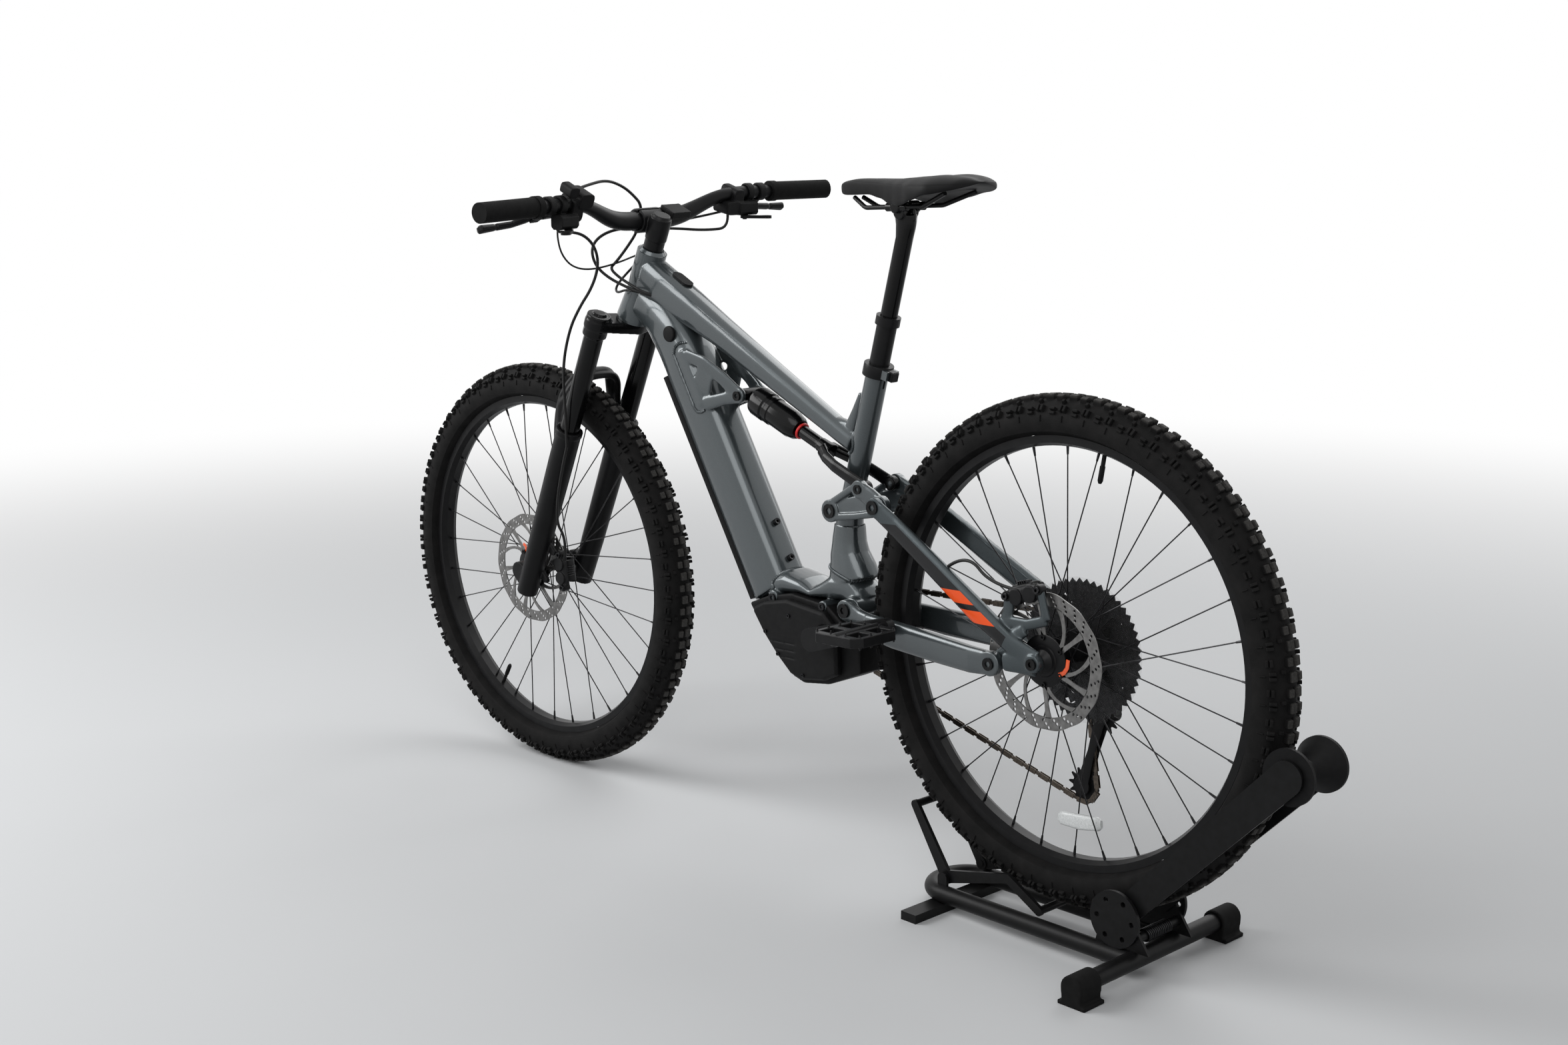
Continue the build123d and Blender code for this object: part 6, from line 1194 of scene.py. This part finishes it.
seatFoot = (434.0, 176.0)
tubeTurn = math.radians(downLook["rise"])
tubeAlong = Vector((math.cos(tubeTurn), 0, math.sin(tubeTurn)))
tubeOut = Vector((-math.sin(tubeTurn), 0, math.cos(tubeTurn)))
headAxis = (bikeSpot(*topLook["from"]) - bikeSpot(*topLook["to"])).normalized()
seatAxis = (bikeSpot(*topLook["to"]) - bikeSpot(*seatFoot)).normalized()
downAxis = (onStand.to_3x3() @ tubeAlong).normalized()
cradle = bpy.data.objects["motor_cradle.skin"]
beads = [
    makeBead("headBead", beadSpots("head", topTube, [nodes["head_tube"], downTube], headAxis)),
    makeBead("seatBead", beadSpots("seat", topTube, [nodes["seat_tube"]], -headAxis)),
    makeBead("cradleBead", beadSpots("cradle", downTube, [cradle], -downAxis)),
    makeBead("postBead", ringSpots(cradle, bikeSpot(*beadLook["post"]), seatAxis)),
    makeBead("leftPadBead", padSpots(1)),
    makeBead("rightPadBead", padSpots(-1)),
]
dress(joinPieces(beads, "weldBeads"), "framePaint", "frame", "frame_paint", 60)
print("weld beads laid")

# Brake rotors: a drilled, scalloped band on swept arms, bolted to a dark carrier
rotorLook = {
    "outer": 0.1015, "inner": 0.0820, "thick": 0.0018, "steps": 168, "wave": 0.014, "waveFrom": 0.1,
    "arms": 6, "armWidth": 0.0070, "armCuts": 7, "armLap": 0.001, "armFlare": (1.5, 0.6),
    "sweeps": (40.0, 4.0), "hubRadius": 0.030,
    "groups": 28, "holes": [(0.0862, -2.4), (0.0915, 0.6), (0.0968, 3.4)], "holeRadius": 0.0025,
    "holeSides": 8, "drill": 0.02, "carrierOuter": 0.038, "carrierInner": 0.0185, "carrierHalf": 0.0022,
    "carrierEdge": 0.004, "carrierRim": 0.4, "carrierSteps": 48,
    "stud": (0.0038, 0.0032, 0.0019), "studReach": 0.0345,
}


def makeArm(sweep):
    deselectAll()
    bpy.ops.mesh.primitive_cube_add(size=1.0)
    arm = edited(bpy.context.object, (bpy.ops.mesh.subdivide, {"number_cuts": rotorLook["armCuts"]}))
    hub, (wide, waist) = rotorLook["hubRadius"], rotorLook["armFlare"]
    for vert in arm.data.vertices:
        share = vert.co.z + 0.5
        reach = hub + share * (rotorLook["inner"] + rotorLook["armLap"] - hub)
        width = rotorLook["armWidth"] * (wide - waist * math.sin(share * math.pi))
        turn = math.radians(sweep) * share + vert.co.x * width / reach
        vert.co = (reach * math.sin(turn), vert.co.y * rotorLook["thick"], reach * math.cos(turn))
    return repeatRound(edited(arm, weld, faceOut), rotorLook["arms"])


def makeRotor(name, across):
    half, inner, outer = rotorLook["thick"] / 2, rotorLook["inner"], rotorLook["outer"]
    band = spunRing([(inner, -half), (outer, -half), (outer, half), (inner, half)], rotorLook["steps"], name)
    waves = rotorLook["groups"] / 2
    for vert in band.data.vertices:
        if math.hypot(vert.co.x, vert.co.z) > rotorLook["waveFrom"]:
            dip = 1 - rotorLook["wave"] * (0.5 + 0.5 * math.cos(waves * math.atan2(vert.co.x, vert.co.z)))
            vert.co.x, vert.co.z = vert.co.x * dip, vert.co.z * dip
    drills = []
    for reach, slant in rotorLook["holes"]:
        deselectAll()
        bpy.ops.mesh.primitive_cylinder_add(vertices=rotorLook["holeSides"], radius=rotorLook["holeRadius"],
                                            depth=rotorLook["drill"], rotation=(math.pi / 2, 0, 0))
        place = turnedBy(slant, "Y") @ Matrix.Translation((0, 0, reach))
        drills.append(settlePlace(bpy.context.object, place))
    drills = repeatRound(joinPieces(drills, name + "Drills"), rotorLook["groups"])
    applied(band, "BOOLEAN", object=drills, operation="DIFFERENCE", solver="EXACT")
    bpy.data.objects.remove(drills)
    rotor = joinPieces([band] + [makeArm(sweep) for sweep in rotorLook["sweeps"]], name)
    return settlePlace(rotor, Matrix.Translation((0, across, 0)))


def makeCarrier(name, across):
    wide, thin, half = rotorLook["carrierOuter"], rotorLook["carrierInner"], rotorLook["carrierHalf"]
    edge, rim = wide - rotorLook["carrierEdge"], half * rotorLook["carrierRim"]
    section = [(thin, -half), (edge, -half), (wide, -rim), (wide, rim), (edge, half), (thin, half)]
    ring = spunRing(section, rotorLook["carrierSteps"], name)
    seat = Matrix.Translation((0, half, rotorLook["studReach"])) @ Matrix.Rotation(-math.pi / 2, 4, "X")
    studs = repeatRound(settlePlace(makeBolt(*rotorLook["stud"]), seat), rotorLook["arms"])
    return settlePlace(joinPieces([ring, studs], name), Matrix.Translation((0, across, 0)))


for side, place in wheels.items():
    rotor = settlePlace(makeRotor(side + "Rotor", layout["rotor"][side]), place)
    carrier = settlePlace(makeCarrier(side + "Carrier", layout["rotor"][side]), place)
    dress(rotor, "rotorSteel", side + "_wheel", "steel")
    dress(carrier, "blackAnodised", side + "_wheel", "alloy")
    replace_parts(rotor, side + "_rotor")
    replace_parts(carrier, side + "_rotor")
print("rotors made")

# Handlebar: butted tube with a gentle rise, thickest in the stem's clamp: x, y, z and radius
barLook = {
    "half": [(1, 390, 764, 11), (11.1, 300, 761, 11), (17.9, 240, 759, 11), (23.5, 190, 757.3, 11),
             (27.5, 152, 751, 11.2), (30, 116, 734, 12.4), (31.5, 82, 718, 15), (32, 52, 712, 15.9),
             (32, 26, 712, 15.9)],
    "middle": (32, 0, 712, 15.9),
}
barSpots = barLook["half"] + [barLook["middle"]] + list(reversed(otherSide(barLook["half"])))
handlebar = tubeThrough("handlebarTube", [[(inSteering(spot[:3]), spot[3]) for spot in barSpots]], 0.001,
                        roundness=6, order=4)
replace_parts(dress(handlebar, "blackAnodised", "steering", "alloy", 60), "handlebar")
print("handlebar made")

# Shock: stepped air can on its eye, with the travel ring resting against the seal
shockLook = {
    "pivot": (657.0, 344.0), "run": (-0.9116, -0.4112), "eye": (11.0, -19.5, 19.5), "steps": 48,
    "can": [(0, 6), (10, 6), (15, 14), (23.5, 21), (25, 26), (25, 48), (22.6, 51), (22.6, 55), (24, 57),
            (24, 64), (22.4, 66), (22.4, 108), (21, 112), (19.5, 121), (16.4, 126), (0, 128)],
    "ring": [(11.2, 129), (13.4, 129), (14.2, 130.4), (14.2, 131.6), (13.4, 133), (11.2, 133)],
}


def shockRing(key, name):
    runX, runZ = shockLook["run"]
    run = (onStand.to_3x3() @ Vector((runX, 0, runZ))).normalized()
    place = run.to_track_quat("Y", "Z").to_matrix().to_4x4()
    place.translation = bikeSpot(*shockLook["pivot"])
    return settlePlace(spunRing(inMetres(shockLook[key]), shockLook["steps"], name), place)


eye = settlePlace(skinDrum(*shockLook["pivot"], *shockLook["eye"]), onStand)
shockCan = joinPieces([shockRing("can", "shockCan"), eye], "shockCan")
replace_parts(dress(shockCan, "glossBlack", "shock_can", "alloy", 30), "shock_can")
dress(shockRing("ring", "travelRing"), "redRubber", "shock_can", "rubber_black", 50)
print("shock made")

# Hoses at the calipers, in millimetres of the bicycle and of the steering
hoseLook = [
    {"name": "rearCaliperHose", "node": "rear_caliper", "body": "seatstays", "place": onStand,
     "radius": 0.0025,
     "points": [(26.3, 64.7, 98), (88.3, 66.7, 100), (138.3, 60.7, 142), (176.3, 61, 118)]},
    {"name": "frontCaliperHose", "node": "front_caliper", "body": "fork_lowers", "place": steered,
     "radius": 0.0025,
     "points": [(-8, 88, 300), (-12, 86, 160), (-38.4, 51.7, 108.8), (-38.4, 49.7, 48.8)]},
]
for look in hoseLook:
    hose = dress(makeCable(look, look["place"]), "hoseSkin", look["body"], "rubber_black", 60)
    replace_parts(hose, look["node"])


# Upright as the bicycle stands, about a wheel's axle
def wheelPlace(side):
    place = onStand.copy()
    place.translation = wheels[side].translation
    return place


# Valve stems: reach from the axle and radius, and the angle of each wheel's valve
valveLook = {"stations": [(302, 3.2), (284, 3.2), (283, 4.0), (262, 4.0), (258, 2.4)],
             "rear": 102.8, "front": -56.0}
for side in ("rear", "front"):
    turn = math.radians(valveLook[side])
    stem = skinBar([(reach * math.cos(turn), 0, reach * math.sin(turn), radius, radius)
                    for reach, radius in valveLook["stations"]], around=16, steps=2, power=1.0)
    stem.name = side + "Valve"
    dress(settlePlace(stem, wheelPlace(side)), "mouldedBlack", side + "_wheel", "black_plastic")

# Bottle bosses, the cap at the head, and the bolts of the motor and its cover
smallLook = {
    "bosses": (37, 101), "bossHead": (0.0055, 0.008), "beside": 0.006,
    "cap": (812, 442), "capRadius": 13.5, "capHeight": 5, "capEdge": 0.002,
    "motor": [(577, 20, 0.0075), (463, 19, 0.0065)], "motorHalf": 0.0425, "motorHead": 0.004,
    "cover": [(528, -2), (584, -34), (556, -68), (500, -96)], "coverHead": (0.0032, 0.003),
}
smallBolts = []
footX, footZ = downLook["foot"]
outward = (onStand.to_3x3() @ tubeOut).normalized()
for reach in smallLook["bosses"]:
    start = (Vector((footX, 0, footZ)) + tubeAlong * reach) / 1000 + tubeAlong * smallLook["beside"]
    seat = seatOn("down_tube", onStand @ (start + tubeOut * beadLook["clear"]), -outward)
    seat = seat - onStand.to_3x3() @ tubeAlong * smallLook["beside"]
    smallBolts.append(boltAt(*smallLook["bossHead"], seat, outward))
cap = skinDrum(0, 0, smallLook["capRadius"], -1, smallLook["capHeight"])
applied(cap, "BEVEL", width=smallLook["capEdge"], segments=3)
capSeat = onStand.copy()
capSeat.translation = seatOn("down_tube", bikeSpot(*smallLook["cap"], boltLook["clear"]), -leftward)
dress(settlePlace(cap, capSeat), "mouldedBlack", "frame", "black_plastic").name = "sideCap"
for x, z, radius in smallLook["motor"]:
    for sign in (1, -1):
        seat = bikeSpot(x, z, smallLook["motorHalf"] * sign)
        smallBolts.append(boltAt(radius, smallLook["motorHead"], seat, leftward * sign))
for x, z in smallLook["cover"]:
    seat = seatOn("drive_unit_cover", bikeSpot(x, z, boltLook["clear"]), -leftward)
    smallBolts.append(boltAt(*smallLook["coverHead"], seat, leftward))
dress(joinPieces(smallBolts, "smallBolts"), "boltSteel", "frame", "black_metal")

# Caliper bolts, and the fins of the pads between them
trimLook = {
    "head": (0.0052, 0.005, 0.0026), "headAt": (0.101, 0.0165), "heads": (-0.030, 0.030),
    "fin": (0.011, 0.0014, 0.014), "finTaper": 0.8, "finEdge": 0.0003, "finAt": (0.113, 0.004),
    "fins": (-0.008, -0.004, 0.0, 0.004, 0.008),
}
for side, (body, turn) in calipers.items():
    trim = []
    for z in trimLook["heads"]:
        seat = caliperPlace(side) @ facing(Vector((*trimLook["headAt"], z)), Vector((0, 1, 0)))
        trim.append(settlePlace(makeBolt(*trimLook["head"]), seat))
    for z in trimLook["fins"]:
        fin = taperedBlock(trimLook["fin"], trimLook["finTaper"], trimLook["finEdge"])
        seat = caliperPlace(side) @ Matrix.Translation((*trimLook["finAt"], z)) @ turnedBy(90, "X")
        trim.append(settlePlace(fin, seat))
    dress(joinPieces(trim, body + "CaliperTrim"), "boltSteel", body, "black_metal")
print("small pieces made")

# Clear guard beside the cogs, and the reflector clipped to the spokes
clearLook = {
    "guard": [(17.2, -26.1), (107.0, -26.1), (108.0, -25.5), (107.0, -24.9), (17.2, -24.9)], "steps": 96,
    "reflector": [(-52, 0, -246, 3, 6), (-47, 0, -246.3, 5, 10), (-13, 0, -249.7, 5.5, 11.5),
                  (21, 0, -249.5, 5, 10), (26, 0, -249.5, 3, 6)],
}
guard = settlePlace(spunRing(inMetres(clearLook["guard"]), clearLook["steps"], "cogGuard"), onStand)
dress(guard, "clearPlastic", "rear_wheel", "clear_plastic")
reflector = settlePlace(skinBar(clearLook["reflector"], around=32, steps=4, power=0.6), onStand)
reflector.name = "spokeReflector"
dress(reflector, "reflectorPrism", "rear_wheel", "clear_plastic")
for piece in (guard, reflector):
    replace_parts(piece, "wheel_plastics")

# Clamp collar of the seat post in black, and the ends of the rear axle
collarLook = {
    "section": [(18.3, 220.4), (23.2, 220.4), (23.6, 221.2), (23.6, 238.8), (23.2, 239.6), (16.4, 239.6),
                (16.4, 238)], "steps": 64,
    "ear": (0.030, 0.0155, 0.0155), "earEdge": 0.0015, "earReach": 0.023, "earRise": 0.230,
    "rearward": (-0.9537, 0, -0.3007),
    "axle": [(0.0885, 1), (0.0865, -1)], "axleHead": (0.0085, 0.003, 0.0042),
}
alongSeat = seatAxis.to_track_quat("Y", "X").to_matrix().to_4x4()
alongSeat.translation = bikeSpot(*seatFoot)
collar = spunRing(inMetres(collarLook["section"]), collarLook["steps"], "seatCollar")
settlePlace(collar, alongSeat)
rearward = onStand.to_3x3() @ Vector(collarLook["rearward"])
earPlace = Matrix((rearward, leftward, seatAxis)).transposed().to_4x4()
earPlace.translation = (bikeSpot(*seatFoot) + seatAxis * collarLook["earRise"]
                        + rearward * collarLook["earReach"])
ear = settlePlace(taperedBlock(collarLook["ear"], 1.0, collarLook["earEdge"]), earPlace)
dress(joinPieces([collar, ear], "seatCollar"), "blackAnodised", "frame", "alloy")
axleEnds = []
for across, sign in collarLook["axle"]:
    seat = facing(onStand @ Vector((0, across * sign, 0)), leftward * sign)
    axleEnds.append(settlePlace(makeBolt(*collarLook["axleHead"]), seat))
dress(joinPieces(axleEnds, "axleEnds"), "glossBlack", "seatstays", "black_metal")

# Orange tags on the hubs: how far across, and the bend in x and z
tagLook = {"sides": {"rear": (61.6, [(-28, -16), (-37, -12), (-43, -4), (-45, 8)]),
                     "front": (42.6, [(6, 26), (11, 31), (12, 39), (19, 42)])},
           "half": (0.9, 3.2)}
for side, (across, spots) in tagLook["sides"].items():
    tag = skinBar([(x, across, z, *tagLook["half"]) for x, z in spots], around=12, steps=3)
    tag.name = side + "Tag"
    dress(settlePlace(tag, wheelPlace(side)), "orangePaint", side + "_wheel", "rubber_black")
print("guard, collar and tags made")
